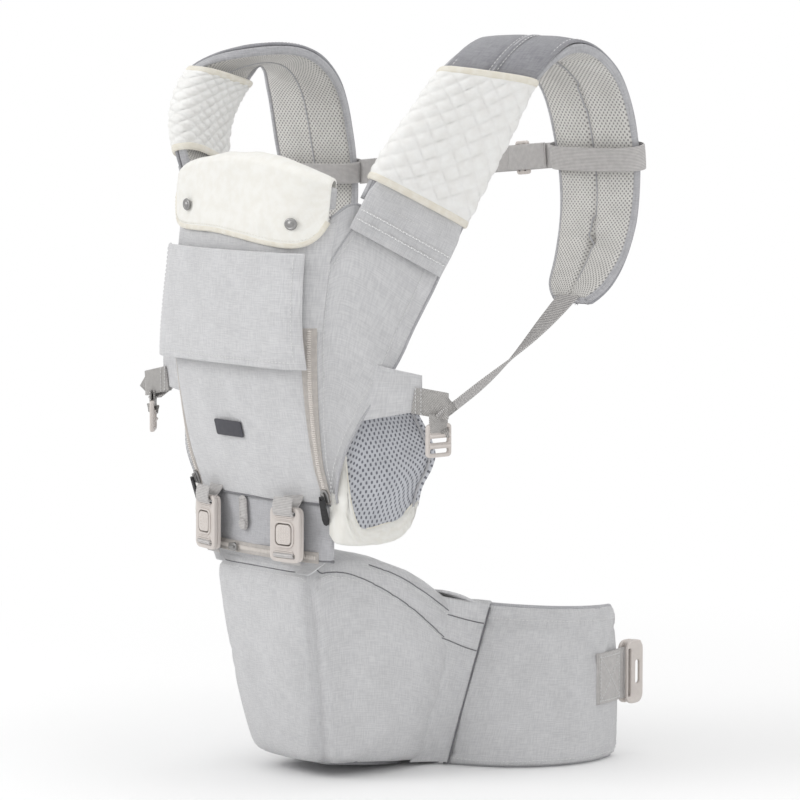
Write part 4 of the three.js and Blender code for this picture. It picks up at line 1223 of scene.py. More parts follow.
def make_zips():
    for word, sign in SIDES:
        def strip(name, half_wide, low, high, rows, sizes, half, material, out, edge, s=sign):
            """A layer that follows the zip between two heights."""
            return sheet(name, lambda u, z: s * (zip_x(z) + lerp(-1, 1, u) * half_wide),
                         lambda u, v: lerp(low, high, v), rows, sizes, half, material, out, edge)

        tape = strip("t", ZIP["wide"] * 0.42, PANEL["foot"], ZIP["shown_to"], (8, 60), (10, 171), 0.6, TAPE,
                     0.3, 0.6)
        # Above the pocket's edge the zip is covered by a narrow placket.
        cover = strip(f"zip_placket_{word}", ZIP["wide"] / 2 + 2, ZIP["shown_to"] - 4, PANEL["top"], (8, 34),
                      (16, 100), 1.0, GREY, -0.2, 1)
        finish_piece(cover, "panel", "grey_fabric")
        z = np.arange(PANEL["foot"] + 2, ZIP["shown_to"] - 2, TOOTH_PITCH)
        points, across, up, out = panel_frame(sign * zip_x(z), z)
        teeth = coil(points, across, up, out, 1.1)
        finish_piece(merge(f"zip_{word}", [tape, teeth]), "panel", "zip_tape", f"zip_tape_{word}")

        z0 = PANEL["foot"] + 9
        place = on_panel(sign * zip_x(z0), z0, 3.4)
        outline = [(-4.6, -6), (-3, -7), (3, -7), (4.6, -6), (4.4, 2), (2.6, 6.6), (-2.6, 6.6), (-4.4, 2)]
        wings = plate("p", [outline], 2.6, 0.8, place, STEEL, 0.9)
        bridge = plate("p", [round_rect(3.2, 10, 1.4, 0, -0.5)], 2.2, 0.7, place, STEEL, -2.2)
        finish_piece(merge(f"zip_runner_{word}", [wings, bridge]), f"zip_slider_{word}", "metal",
                     f"zip_slider_{word}")
        tab = [(-2.4, 1.6), (2.4, 1.6), (3.1, -3), (3.8, -22), (2.6, -27), (0, -28.4), (-2.6, -27),
               (-3.8, -22),
               (-3.1, -3)]
        hole = round_rect(2.6, 2.2, 0.8, 0, -1.0)
        grips = [plate("p", [round_rect(5.2 - 0.3 * k, 1.3, 0.5, 0, -10 - 3.2 * k)], 3.0, 0.5, place, RUBBER,
                       -4.4)
                 for k in range(4)]
        pull = plate("p", [tab, hole], 2.4, 0.7, place, RUBBER, -4.4)
        finish_piece(merge(f"zip_tab_{word}", [pull] + grips), f"zip_pull_{word}", "black_rubber",
                     f"zip_pull_{word}")


def make_flap():
    def droop(u, v, p):
        """The free lower edge stands a little off, most at the left corner."""
        free = (1 - v) ** 2
        corner = np.exp(-((u / 0.16) ** 2))
        return free * (1.6 + 5.0 * corner) + wrinkle(p, 55, 1.4, 2.0) * (1 - v * 0.5)

    middle = FLAP["lift"] + FLAP["thick"] / 2
    flare = lambda u, v: 3.0 * (1 - v) ** 2 * (1 + 1.4 * (u < 0.5))
    x_at = lambda u, z: lerp(-1, 1, u) * (FLAP["half"] + flare(u, (z - FLAP["foot"]) / 106))
    z_at = lambda u, v: lerp(FLAP["foot"] - 2 * (2 * u - 1) ** 2, FLAP["top"] + 1, v)
    flap = sheet("pocket_flap_cloth", x_at, z_at, (56, 34), (200, 106), 1.5, GREY, middle, 1.6, front=droop,
                 back=droop)
    finish_piece(flap, "pocket_flap", "grey_fabric", "pocket_flap")

    def on_flap(u, v):
        z = z_at(u, v)
        x = x_at(u, z)
        return panel_point(x, z, middle + 1.6 + droop(u, v, panel_point(x, z)))

    k = np.linspace(0.02, 0.98, 50)
    upright = lerp(0.065, 0.97, k)
    lines = [on_flap(lerp(0.035, 0.965, k), 0.065 + 0 * k), on_flap(0.035 + 0 * k, upright),
             on_flap(0.965 + 0 * k, upright)]
    rows = [stitches("s", line, vec(0, -1, 0), THREAD) for line in lines]
    finish_piece(merge("pocket_flap_stitching", rows), "pocket_flap", "grey_fabric")

    bag = sheet("pocket_bag_cloth", lambda u, z: lerp(-1, 1, u) * (FLAP["half"] - 9),
                lambda u, v: lerp(FLAP["foot"] + 8, FLAP["top"] - 26, v), (36, 22), (180, 72), 1.2, GREY, 2.4,
                1.2,
                front=lambda u, v, p: 0.8 * np.sin(math.pi * u) * np.sin(math.pi * v))
    finish_piece(bag, "panel", "grey_fabric", "pocket_bag")


# ------------------------------------------------------------------------------- head support
def make_head_support():
    half, thick = HEAD["half"], HEAD["thick"]

    def pad_middle(u, v):
        x = lerp(-half, half, u)
        foot = HEAD["foot"] + 9 * (x / half) ** 4
        return head_point(x, lerp(foot, head_top(x) - 3.2, v), -4.6 - thick / 2)

    cushion = pad("head_cushion", pad_middle, (44, 18), (226, 50), thick / 2, GREY, 7.5)
    finish_piece(cushion, "head_support", "grey_fabric", "head_support_pad")

    def bib_surface(u, v, out=0.0):
        """One cloth: up the outside, over the top edge and down the back."""
        x = lerp(-half - 5, half - 3, u)
        # The cloth closes round the cushion's left end and hugs it at the right.
        end = np.clip((1 - 2 * u - 0.93) / 0.07, 0, 1)
        full = (0.03 + 0.97 * np.sqrt(1 - end ** 2)) * (1 - 0.33 * smooth(u, 0.86, 1.0))
        top = head_top(np.clip(x, -half, half))
        middle = -4.6 - thick / 2
        radius = thick / 2 + 6.8 + out
        turn = np.clip((v - 0.5) / 0.3, 0, 1)
        rising, turning = v <= 0.5, v <= 0.8
        reach = np.where(rising, 2.1 + out,
                         np.where(turning, middle + np.cos(math.pi * turn) * radius, middle - radius))
        up = lerp(bib_foot(np.clip(x, -half, half)), top - 4, np.clip(v * 2, 0, 1))
        down = lerp(top - 4, HEAD["foot"] + 18, np.clip((v - 0.8) / 0.2, 0, 1))
        z = np.where(rising, up, np.where(turning, top - 4 + np.sin(math.pi * turn) * (7.4 + out), down))
        return head_point(x, z, middle + (reach - middle) * full)

    def softness(u, v, p):
        drape = wrinkle(p, 34, 2.6, 1.0, (1, 1, 0.7)) + wrinkle(p, 15, 0.7, 4.0)
        return drape * smooth(v, 0.0, 0.15) * (1 - smooth(v, 0.85, 1)) + 0.5

    bib = pad("bib_cloth", bib_surface, (64, 56), (230, 120), 1.2, CREAM, 1.2, front=softness, back=softness)
    finish_piece(bib, "head_support", "cream_cotton", "bib")
    u = np.linspace(0, 1, 80)
    edge = sweep("b", bib_surface(u, np.full(80, 0.012), 0.4), vec(0, 0, 1), flat_section(5.5, 3.2), TRIM)
    back = sweep("b", bib_surface(u, np.full(80, 0.99), 0.4), vec(0, 0, 1), flat_section(5.0, 3.0), TRIM)
    finish_piece(merge("bib_binding", [edge, back]), "head_support", "cream_cotton")
    hem = bib_surface(np.linspace(0.02, 0.98, 80), np.full(80, 0.045), 2.1)
    finish_piece(stitches("bib_stitching", hem, vec(0, -1, 0), THREAD_CREAM), "head_support", "cream_cotton")
    for x, z, word in ((-77.0, 560.0, "left"), (80.0, 548.0, "right")):
        at = head_point(x, z, 4.4)
        across = head_point(x + 1, z) - head_point(x - 1, z)
        place = frame_at(at, across, vec(0, 0, 1))
        profile = [(6.9, 0), (7.2, 0.9), (6.6, 1.7), (5.4, 2.0), (4.6, 1.7), (4.3, 1.5), (3.4, 2.3),
                   (2.0, 2.9),
                   (0.6, 3.1)]
        cap = lathe(f"bib_press_stud_{word}", profile, place, STEEL, 28, 0.82)
        finish_piece(cap, "head_support", "metal", f"bib_snap_{word}")



# ------------------------------------------------------------------------------- shoulder straps
def make_strap(word, sign):
    at = strap_frame(word)
    core = STRAP["core"] / 2
    length, wide = 540.0, 88.0
    edge = lambda u: 1 - 0.5 * np.abs(2 * u - 1) ** 3

    # Stretched over a bend, the inner face creases across the strap and each face is drawn in at its middle seam.
    def creases(u, v, p):
        bend = np.exp(-(((v - 0.46) / 0.14) ** 2))
        lines = wrinkle(p, 24, 3.2, 6.0, (0.5, 0.5, 1.4)) * bend + wrinkle(p, 40, 1.6, 8.0)
        middle = -2.8 * np.exp(-(((u - 0.5) / 0.035) ** 2))
        seam = -2.5 * np.exp(-(((v - 0.5) / 0.008) ** 2))
        # A bar tack near the tip draws the padding into a cross.
        tack = -5.0 * np.exp(-(((v - 0.87) / 0.012) ** 2) - ((u - 0.5) / 0.22) ** 2)
        tack += -3.5 * np.exp(-(((v - 0.87) / 0.05) ** 2) - ((u - 0.5) / 0.05) ** 2)
        return lines + middle + seam + tack

    inner = pad(f"strap_mesh_{word}", lambda u, v: at(lerp(0.015, 1, v), 2 * u - 1, 0.0 * u), (44, 150),
                (wide, length), lambda u, v: core * edge(u) + 1.0, MESH, 6.0, middle=-1.0,
                back=lambda u, v, p: -creases(u, v, p))
    finish_piece(inner, "harness", "spacer_mesh", f"strap_lining_{word}")

    def ridge(u, v, p):
        off = np.abs(u - 0.5)
        seam = 1.1 * np.exp(-((off / 0.02) ** 2)) - 1.4 * np.exp(-(((off - 0.05) / 0.02) ** 2))
        return seam + wrinkle(p, 30, 1.4, 12.0) + 0.4

    def skin(u, v):
        return at(lerp(0.015, 1, v), 2 * u - 1, core * edge(u) + 4.0)

    outer = pad(f"strap_top_{word}", skin, (34, 96), (wide, length), 1.5, GREY_DARK, 1.6, front=ridge,
                out=sign)
    finish_piece(outer, "harness", "dark_grey_fabric", f"strap_outer_{word}")

    def binding(s, across, inset):
        path = at(s, across * inset, 0.5 + 0 * s)
        return sweep("e", path, at(s, across, 3 + 0 * s) - at(s, across, 0 * s), flat_section(9.0, 4.4),
                     BINDING)

    s = np.linspace(0.015, 1.0, 110)
    bound = [binding(s, k, 0.995) for k in (-1, 1)]
    tip = binding(np.ones(20), np.linspace(-1, 1, 20), 1)
    seam = cord("e", at(s, 0 * s, np.full(110, core + 5.6)), 1.0, DARK_SEAM)
    path, _ = shrink_to(inner)(at(s[2:-4], 0 * s[2:-4], np.full(104, -core - 2.0)), 0.1)
    lining_seam = cord("e", path, 0.8, DARK_SEAM)
    finish_piece(merge(f"strap_binding_{word}", bound + [tip, seam, lining_seam]), "harness", "grey_fabric")
    rows = []
    normal = at(s, 0 * s, np.full(110, 5.0)) - at(s, 0 * s, 0 * s)
    for k in (-0.9, 0.9, -0.08, 0.08):
        path, _ = resample(at(s, k + 0 * s, core * edge((k + 1) / 2) + 5.6 + 0 * s), 4.2)
        rows.append(stitches("s", path, resize(normal, len(path)), THREAD))
    finish_piece(merge(f"strap_stitching_{word}", rows), "harness", "grey_fabric")
    make_drool_pad(word, at)
    make_strap_root(word, sign, at)
    return at


def sleeve_frame(at, grow, depth):
    """The cross-section round a strap as a flattened ring, by the share of the way round it."""
    a = np.linspace(0, 2 * math.pi, 2001)
    flat = np.sign(np.cos(a)) * np.abs(np.cos(a)) ** 0.6 * grow * STRAP["half"]
    high = np.sign(np.sin(a)) * np.abs(np.sin(a)) ** 0.75 * depth
    steps = np.hypot(np.diff(flat), np.diff(high))
    run = np.concatenate([[0], np.cumsum(steps)]) / steps.sum()
    normal = unit(np.stack([np.gradient(high), -np.gradient(flat)], -1))

    def surface(turn, s, out):
        turn = np.asarray(turn, float) % 1.0
        x, z, nx, nz = (np.interp(turn, run, column) for column in (flat, high, normal[:, 0], normal[:, 1]))
        return at(s, (x + nx * out) / STRAP["half"], z + nz * out)

    return surface


def make_drool_pad(word, at):
    first, last = 0.058 if word == "right" else 0.12, 0.3
    around = sleeve_frame(at, 1.02, STRAP["core"] / 2 + 9.0)
    surface = lambda turn, v, out: around(turn, lerp(first, last, v), out)
    sizes = (104.0, 132.0)
    quilt_pitch = 18.0

    def quilted(turn, v, p):
        a, b = np.abs(turn - 0.5) * 2 * sizes[0], v * sizes[1]
        one = np.abs(np.sin(math.pi * (a + b) / quilt_pitch))
        two = np.abs(np.sin(math.pi * (a - b) / quilt_pitch))
        puff = 2.8 * (one * two) ** 0.4 - 1.3
        return (puff + wrinkle(p, 45, 0.5, 5.0)) * smooth(np.minimum(v, 1 - v), 0.02, 0.08)

    cover = ring(f"drool_pad_{word}", surface, 144, 92, sizes, 3.0, QUILT, quilted)
    finish_piece(cover, "harness", "cream_cotton", f"strap_cover_{word}")
    turn = np.arange(80) / 80
    bands = []
    for v in (0.012, 0.988):
        path = surface(turn, np.full(80, v), 1.8)
        along = surface(turn, np.full(80, v + 0.01), 1.8) - path
        bands.append(sweep("b", path, along, flat_section(7.5, 4.2), TRIM, closed=True))
    finish_piece(merge(f"drool_pad_binding_{word}", bands), "harness", "cream_cotton")


def make_strap_root(word, sign, at):
    """Where the strap is sewn to the panel: a yoke of the panel's cloth."""
    def lift(s, across):
        crown = STRAP["core"] / 2 * (1 - 0.5 * np.abs(across) ** 3)
        return crown + lerp(3.6, 7.0, smooth(s, -0.05, 0.0))

    def surface(u, v):
        s = lerp(-0.045, 0.085, v)
        return at(s, (2 * u - 1) * lerp(1.02, 0.93, smooth(s, 0.02, 0.07)), lift(s, 2 * u - 1))

    yoke = pad(f"strap_yoke_{word}", surface, (30, 24), (100, 78), 1.1, GREY, 1.1,
               front=lambda u, v, p: wrinkle(p, 18, 0.8, 3.0), out=sign)
    k = np.linspace(-0.94, 0.94, 50)
    rows = []
    normal = unit(at(0 * k, k, 9 + 0 * k) - at(0 * k, k, 0 * k))
    for s in (-0.024, -0.006):
        path, _ = resample(at(np.full(50, s), k, lift(s, k) + 1.7), 3.6)
        rows.append(stitches("s", path, resize(normal, len(path)), THREAD, 3.6, 4.4, 0.8, 0.35))
    k = np.linspace(-0.45, 0.1, 30)
    path, _ = resample(at(np.full(30, 0.018), k, lift(0.018, k) + 1.7), 3.6)
    rows.append(stitches("s", path, resize(normal, len(path)), THREAD, 3.6, 2.6, 0.5))
    seams = merge(f"strap_yoke_stitching_{word}", rows)
    low, high = at(np.array([-0.04, 0.05]), 0.0, np.zeros(2))
    for piece in (yoke, seams):
        bend_piece(piece, low, high)


def make_adjuster(word, sign, at):
    """Two-tone webbing from the strap's tip to the side buckle."""
    edge, way = wing_path(sign)
    top, beside = at(np.array([0.97, 0.97]), np.array([0.0, 1.0]), np.zeros(2))
    foot = edge + way * 1.06 + vec(0, 0, -16)
    mid = lerp(top, foot, 0.5) + vec(sign * 3, 4, -5)
    path = through_points([top + (top - foot) * 0.03, top, mid, foot], 50)
    side_top = beside - top
    side_foot = vec(-sign * 0.3, 0.95, 0.1) if sign > 0 else way
    t = np.linspace(0, 1, 50)[:, None]
    side = unit(lerp(unit(side_top), unit(side_foot) * np.sign(np.dot(side_foot, side_top)),
                     smooth(t, 0.0, 0.8)))
    web = sweep(f"adjuster_webbing_{word}", path, side, flat_section(WEB["wide"], WEB["thick"]), WEBBING_TWO)
    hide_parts(f"strap_adjuster_{word}")
    bend_piece(web, top, foot)
    s = np.linspace(0.93, 0.995, 14)
    across = at(s, 1 + 0 * s, 0 * s) - at(s, 0 * s, 0 * s)
    patch = sweep(f"adjuster_patch_{word}", at(s, 0 * s, STRAP["core"] / 2 + 6.4 + 0 * s), across,
                  flat_section(WEB["wide"], 2.0), WEBBING_TWO)
    finish_piece(patch, "harness", "webbing")


# ------------------------------------------------------------------------------- chest strap
def make_chest_strap(right, left):
    right_at, left_at = 0.715, 0.76
    band = 12.5
    zero = np.zeros(1)
    start = right(zero + right_at, -1.15, zero)[0]
    end = left(zero + left_at, -1.15, zero)[0]

    def point(t, drop=0.0, out=0.0):
        t = np.asarray(t, float)
        sag = stack(0, -6 * np.sin(math.pi * t) + out, drop)
        return start + (end - start) * t[..., None] + sag

    loops = []
    for at, s0 in ((right, right_at), (left, left_at)):
        around = sleeve_frame(at, 1.15, STRAP["core"] / 2 + 10.4)
        surface = lambda turn, v, out, a=around, s=s0: a(turn, s + (v - 0.5) * 2 * band * 0.0017, out)
        loops.append(ring("l", surface, 80, 10, (110, 25), 1.8, WEBBING))
    t = np.linspace(0.0, 1.0, 70)
    strip = sweep("l", point(t), vec(0, 0, 1), flat_section(2 * band, WEB["thick"]), WEBBING)
    # The webbing is doubled back from the slider, with a loose folded end.
    tail_t = np.linspace(0.03, 0.2, 20)
    tail = sweep("l", point(tail_t, 0.5, -2.6 - 1.6 * np.sin(math.pi * (tail_t - 0.03) / 0.17)), vec(0, 0, 1),
                 flat_section(2 * band, WEB["thick"]), WEBBING_TWO)
    web = merge("chest_strap_webbing", loops + [strip, tail])
    finish_piece(web, "chest_strap", "webbing", "chest_webbing")

    def mount(t0):
        along = point(t0 - 0.02) - point(t0 + 0.02)
        return frame_at(point(t0), along, vec(0, 0, 1))

    outlines = [round_rect(17, 2 * band + 8, 3)] + [round_rect(4.2, 2 * band + 1, 1, x) for x in (-4, 4)]
    slider = plate("chest_slide_adjuster", outlines, 4.2, 1.2, mount(0.14), PLASTIC, -0.6)
    finish_piece(slider, "chest_slider", "buckle_plastic", "chest_slider")
    place = mount(0.62)
    shells = [plate("p", [round_rect(42, 2 * band + 9, 7), round_rect(9, 15, 3, 4)], 3.6, 1.2, place, PLASTIC,
                    y)
              for y in (-4.0, 4.0)]
    bars = [plate("p", [round_rect(4.5, 2 * band + 4, 2, x)], 7, 1, place, PLASTIC) for x in (-17, 17)]
    cheeks = [plate("p", [round_rect(34, 4.2, 2, 0, z)], 8, 1, place, PLASTIC) for z in (-band - 1.6,
                                                                                         band + 1.6)]
    finish_piece(merge("chest_clasp", shells + bars + cheeks), "chest_strap", "buckle_plastic",
                 "chest_buckle")


# ------------------------------------------------------------------------------- wings and side buckles
BUCKLE_TURN = math.radians(48)


def make_wing(word, sign):
    edge, way = wing_path(sign)
    up = vec(0, 0, 1)
    normal = unit(np.cross(way, up)) * sign

    def cloth(u, v):
        """It comes from behind the panel's slanting edge, then runs straight to the webbing."""
        t = lerp(lerp(-0.4, -0.2, v), 0.84, u)
        z = edge[2] + lerp(lerp(-26, -15, t), lerp(27, 15, t), v)
        flat = edge + way * np.maximum(t, 0)[..., None]
        flat = stack(flat[..., 0], flat[..., 1], z)
        behind = np.minimum(t, 0)
        curved = panel_point(sign * (136 + 63 * behind), z, lerp(-1.5, -5.5, np.clip(-behind / 0.12, 0, 1)))
        start = stack(edge[0] + 0 * z, edge[1] + 0 * z, z)
        return flat + (curved - start) * (1 - smooth(t, 0.0, 0.35))[..., None]

    wrinkles = lambda u, v, p: wrinkle(p, 20, 1.4, 4.0)
    tab = pad(f"wing_cloth_{word}", cloth, (26, 22), (44, 50), 1.7, GREY, 1.7, front=wrinkles, back=wrinkles,
              out=sign)
    finish_piece(tab, "panel", "grey_fabric", f"wing_{word}")
    # Webbing is sewn along the tab, folds at the tip and comes back through the buckle.
    k = np.linspace(0, 1, 24)
    front_run = edge + way * lerp(0.7, 1.2, k)[:, None] + normal * 2.6
    back_run = edge + way * lerp(0.75, 1.2, k)[:, None] - normal * 2.6
    tip_turn = [edge + way * (1.2 + 0.05 * math.sin(a)) + normal * 2.6 * math.cos(a)
                for a in np.linspace(0, math.pi, 9)[1:-1]]
    run = np.concatenate([front_run, tip_turn, back_run[::-1]])
    loop = sweep("w", run, up, flat_section(WEB["wide"], WEB["thick"]), WEBBING_TWILL)
    # The point of the fold stands beyond the loop.
    peak = edge + way * 1.2
    corners = [peak + up * 12, peak + unit(way) * 13 - up, peak - up * 12]
    fold = [corner + normal * side for side in (1, -1) for corner in corners]
    faces = [(0, 1, 2), (5, 4, 3), (0, 3, 4, 1), (1, 4, 5, 2), (2, 5, 3, 0)]
    point = make("w", fold, faces, WEBBING_TWILL, [(12, 0), (0, 13), (-12, 0)] * 2)
    hang = [edge + way * 1.1 + normal * s * 2.0 + vec(0, 0, z) for s, z in
            ((1.4, -8), (1.2, -20), (0.6, -27), (-0.6, -27), (-1.2, -20), (-1.4, -8))]
    # The buckle hangs turned away from the tab.
    turned = unit(vec(way[0], way[1], 0)) * math.cos(BUCKLE_TURN) - normal * math.sin(BUCKLE_TURN)
    strap = sweep("w", through_points(hang, 30), turned, flat_section(22, WEB["thick"]), WEBBING_TWILL)
    finish_piece(merge(f"wing_webbing_{word}", [loop, point, strap]), "panel", "webbing")
    rows = []
    for t0 in (0.74, 0.83):
        z = np.linspace(-11, 11, 10)
        path = edge + way * t0 + normal * 4.0 + np.stack([0 * z, 0 * z, z], -1)
        rows.append(stitches("s", path, normal, THREAD, 3.2, 2.4))
    finish_piece(merge(f"wing_stitching_{word}", rows), "panel", "webbing")

    at = edge + way * 1.1
    place = frame_at(vec(at[0], at[1], at[2] - 34), turned, up)
    holes = [round_rect(23, 4.4, 1.6, 0, z) for z in (-10, 0, 10)]
    ladder = plate("p", [round_rect(30, 32, 4)] + holes, 4.6, 1.3, place, PLASTIC)
    bars = [cord("bar", put(place, [(x, -2.4, z) for x in np.linspace(-13, 13, 14)]), 1.5, PLASTIC, n=10)
            for z in (-5.0, 5.0)]
    finish_piece(merge(f"ladder_buckle_{word}", [ladder] + bars), f"side_buckle_{word}", "buckle_plastic",
                 f"side_buckle_{word}")


# ------------------------------------------------------------------------------- leg openings
def make_leg_opening(word, sign):
    def creases(u, v, p):
        upright = -2.6 * np.exp(-(((u - 0.42 - 0.12 * v) / 0.035) ** 2)) * (1 - 0.5 * v)
        level = -2.0 * np.exp(-(((v - 0.55 - 0.1 * u) / 0.05) ** 2)) * (1 - u * 0.5)
        return upright + level + wrinkle(p, 24, 2.0, 2.0)

    def liner_surface(u, v):
        s = lerp(-0.03, liner_reach(v), u)
        # It starts behind the panel's edge.
        tuck = -6 * (1 - smooth(s, -0.03, 0.12))
        return leg_point(sign, s, lerp(liner_foot(s), liner_top(s), v), tuck - 3.0 * v)

    liner = pad(f"leg_mesh_{word}", liner_surface, (40, 34), (110, 92), 1.8, LEG_MESH, 1.8, front=creases,
                back=lambda u, v, p: creases(u, v, p) * 0.8, out=sign)
    finish_piece(liner, "panel", "spacer_mesh", f"leg_liner_{word}")

    # A thick rolled rim runs down the liner's free edge, with grey piping along it.
    v = np.linspace(0, 1, 40)
    free = liner_surface(np.ones(40), v)
    finish_piece(cord(f"leg_roll_{word}", free, 3.4, LEG_MESH, n=12), "panel", "spacer_mesh")
    ahead = leg_point(sign, np.array(1.0), 300.0, 3.2) - leg_point(sign, np.array(1.0), 300.0)
    pipe = cord(f"leg_piping_{word}", liner_surface(np.full(40, 0.955), v) + ahead, 1.2, BINDING)
    finish_piece(pipe, "panel", "grey_fabric")

    def crescent(u, v):
        s = lerp(-0.085, 0.84, u)
        # Its front end climbs the panel's edge as a horn.
        return leg_point(sign, s, lerp(pad_foot(s), pad_top(s), v), lerp(-4.5, 0.5, smooth(s, -0.08, 0.06)))

    def ruching(u, v, p):
        gathers = 1.1 * np.sin(u * 110.0 + 3 * v) * smooth(u, 0.6, 0.95)
        return gathers * np.sin(math.pi * v) + wrinkle(p, 14, 1.0, 3.0)

    plump = lambda u, v: 1.6 + 5.0 * smooth(u, 0.02, 0.25) * (1 - 0.5 * smooth(u, 0.7, 1.0))
    cushion = pad(f"leg_cushion_{word}", crescent, (90, 24), (130, 36), plump, CREAM, 7.0, front=ruching,
                  back=ruching, out=sign)
    inflate(cushion, lambda p: near_rims(p, crescent), 0.8, 0.03, 2.2, 12, 14)
    finish_piece(cushion, "panel", "cream_cotton", f"leg_pad_{word}")
    u = np.linspace(0.03, 0.99, 90)
    seam = cord(f"leg_cushion_seam_{word}", crescent(u, np.full(90, 0.995)), 1.3, TRIM)
    finish_piece(seam, "panel", "cream_cotton")


def near_rims(points, surface):
    """True for points near the upper and lower edge of a surface."""
    u = np.linspace(0, 1, 120)
    rims = np.concatenate([surface(u, np.zeros(120)), surface(u, np.ones(120))])
    near = np.zeros(len(points), bool)
    for p in rims:
        near |= np.linalg.norm(points - p, axis=1) < 2.6
    return near


# ------------------------------------------------------------------------------- front buckles and the snap tab
BUCKLE = {"x": 60.0, "z": 248.0, "out": 14.0, "wide": 38.0, "tall": 54.0}


def make_front_buckle(word, sign):
    wide, tall = BUCKLE["wide"], BUCKLE["tall"]
    x0, z0 = sign * BUCKLE["x"], BUCKLE["z"]
    place = on_panel(x0, z0, BUCKLE["out"])
    across = place[:3, 0]
    slots = [round_rect(27, 4.2, 1.6, 0, k * (tall / 2 - 6.5)) for k in (-1, 1)]
    well = round_rect(21.6, 21.6, 5, 0, 0)
    top = plate("p", [round_rect(wide, tall, 7), *slots, well], 5.2, 1.6, place, PLASTIC, -1.6)
    back = plate("p", [round_rect(wide - 1, tall - 1, 6.5)] + slots, 3.4, 0.8, place, PLASTIC, 2.6)
    collar = plate("p", [round_rect(25.5, 25.5, 6.5), well], 2.0, 0.8, place, PLASTIC, -4.6)
    ribs = [plate("p", [round_rect(24, 1.2, 0.5, 0, k * z)], 1.4, 0.4, place, PLASTIC, -4.4) for k in (-1, 1)
            for z in (15.4, 17.2)]
    finish_piece(merge(f"buckle_frame_{word}", [top, back, collar] + ribs), "panel", "buckle_plastic",
                 f"front_buckle_{word}")
    pins = []
    for k in (-1, 1):
        z = k * (tall / 2 - 6.5)
        path = put(place, [(a, -0.6, z - k * 2.6) for a in np.linspace(-13.4, 13.4, 8)])
        pins.append(cord("pin", path, 1.25, CHROME, n=12))
    finish_piece(merge(f"buckle_pins_{word}", pins), "panel", "metal")

    button = plate("p", [round_rect(19.2, 19.2, 4.6)], 3.4, 1.2, place, PLASTIC, -4.3)
    dots = []
    for i in range(5):
        for j in range(5):
            if abs(i - 2) + abs(j - 2) < 4:
                spot = moved(place, (i - 2) * 3.1, -5.9, (j - 2) * 3.1)
                dots.append(lathe("d", [(0.95, 0), (0.8, 0.35), (0.4, 0.55)], spot, PLASTIC, 8))
    finish_piece(merge(f"release_button_{word}", [button] + dots), f"front_button_{word}", "buckle_plastic",
                 f"front_button_{word}")

    # The webbing comes down from the panel, through the buckle's slots and on to the seat's edge, and has a
    # loose tail. Each run holds (depth, height) in the buckle's axes.
    upper = ((10.5, 44), (9.6, 36), (5.5, 30), (0.0, 24.5), (-5.4, 20.8), (-5.6, 19.2), (0.5, 17.6),
             (5.6, 17.0),
             (6.6, 10), (6.6, 0))
    lower = ((6.6, -2), (6.6, -10), (5.6, -17), (0.5, -17.8), (-5.4, -19.2), (-5.2, -21), (0.5, -23.6),
             (4.5, -27), (6.8, -30))
    tail = ((-5.9, 20), (-7.2, 25), (-6.4, 31), (-4.5, 36))
    runs = []
    for run, n in ((upper, 60), (lower, 60), (tail, 24)):
        path = through_points(put(place, [(0.0, y, z) for y, z in run]), n)
        runs.append(sweep("w", path, across, flat_section(WEB["wide"], 1.5), WEBBING))
    finish_piece(merge(f"buckle_strap_{word}", runs), "panel", "webbing", f"buckle_webbing_{word}")


def make_seat_zip():
    z0 = 226.0
    tape = sheet("t", lambda u, z: lerp(-1, 1, u) * 88, lambda u, v: z0 + lerp(-5.5, 5.5, v), (50, 8),
                 (176, 11),
                 0.6, TAPE, 0.5, 0.6)
    x = np.arange(-86, 86, TOOTH_PITCH)
    points, across, up, out = panel_frame(x, z0 + 0 * x)
    teeth = coil(points, up, across, out, 1.3)
    finish_piece(merge("seat_zip", [tape, teeth]), "panel", "zip_tape", "seat_zip_tape")
    place = on_panel(-28.0, z0, 5.0)
    outline = [(-6.4, -3), (-7, 0), (-6.4, 3), (2, 4.2), (6.4, 2.6), (6.4, -2.6), (2, -4.2)]
    body = plate("p", [outline], 3.0, 0.9, place, STEEL)
    bridge = plate("p", [round_rect(9, 2.6, 1.2)], 1.6, 0.5, place, STEEL, -2.2)
    finish_piece(merge("seat_zip_runner", [body, bridge]), "seat_zip_slider", "metal", "seat_zip_slider")


def make_snap_tab():
    place = on_panel(-14.0, 261.0, 2.8)
    tab = plate("p", [round_rect(12, 34, 5.4)], 2.0, 0.7, place, WEBBING)
    profile = [(5.4, 0), (5.6, 0.8), (5.0, 1.8), (3.8, 2.2), (3.2, 1.7), (2.2, 1.6), (0.6, 1.6)]
    cap = lathe("p", profile, moved(place, 0, -0.9, -11), SNAP_PINK, 28)
    outline = put(place, [(x, -1.2, z) for x, z in ((-4.2, -12), (-4.2, 13), (4.2, 13), (4.2, -12))])
    line = stitches("p", outline, -place[:3, 1], THREAD, 3.0, 2.0, 0.35)
    finish_piece(merge("snap_tab_cloth", [tab, cap, line]), "snap_tab", "snap_plastic", "snap_tab")


# ------------------------------------------------------------------------------- the whole object
make_seat()
make_tummy_pad()
make_fold_cloth()
make_panel()
make_flap()
make_head_support()
straps = {}
for word, sign in SIDES:
    make_belt(word, sign)
    make_waist_webbing(word, sign)
    straps[word] = make_strap(word, sign)
    make_adjuster(word, sign, straps[word])
    make_wing(word, sign)
    make_leg_opening(word, sign)
    make_front_buckle(word, sign)
make_waist_buckles()
make_chest_strap(straps["right"], straps["left"])
make_seat_zip()
make_snap_tab()


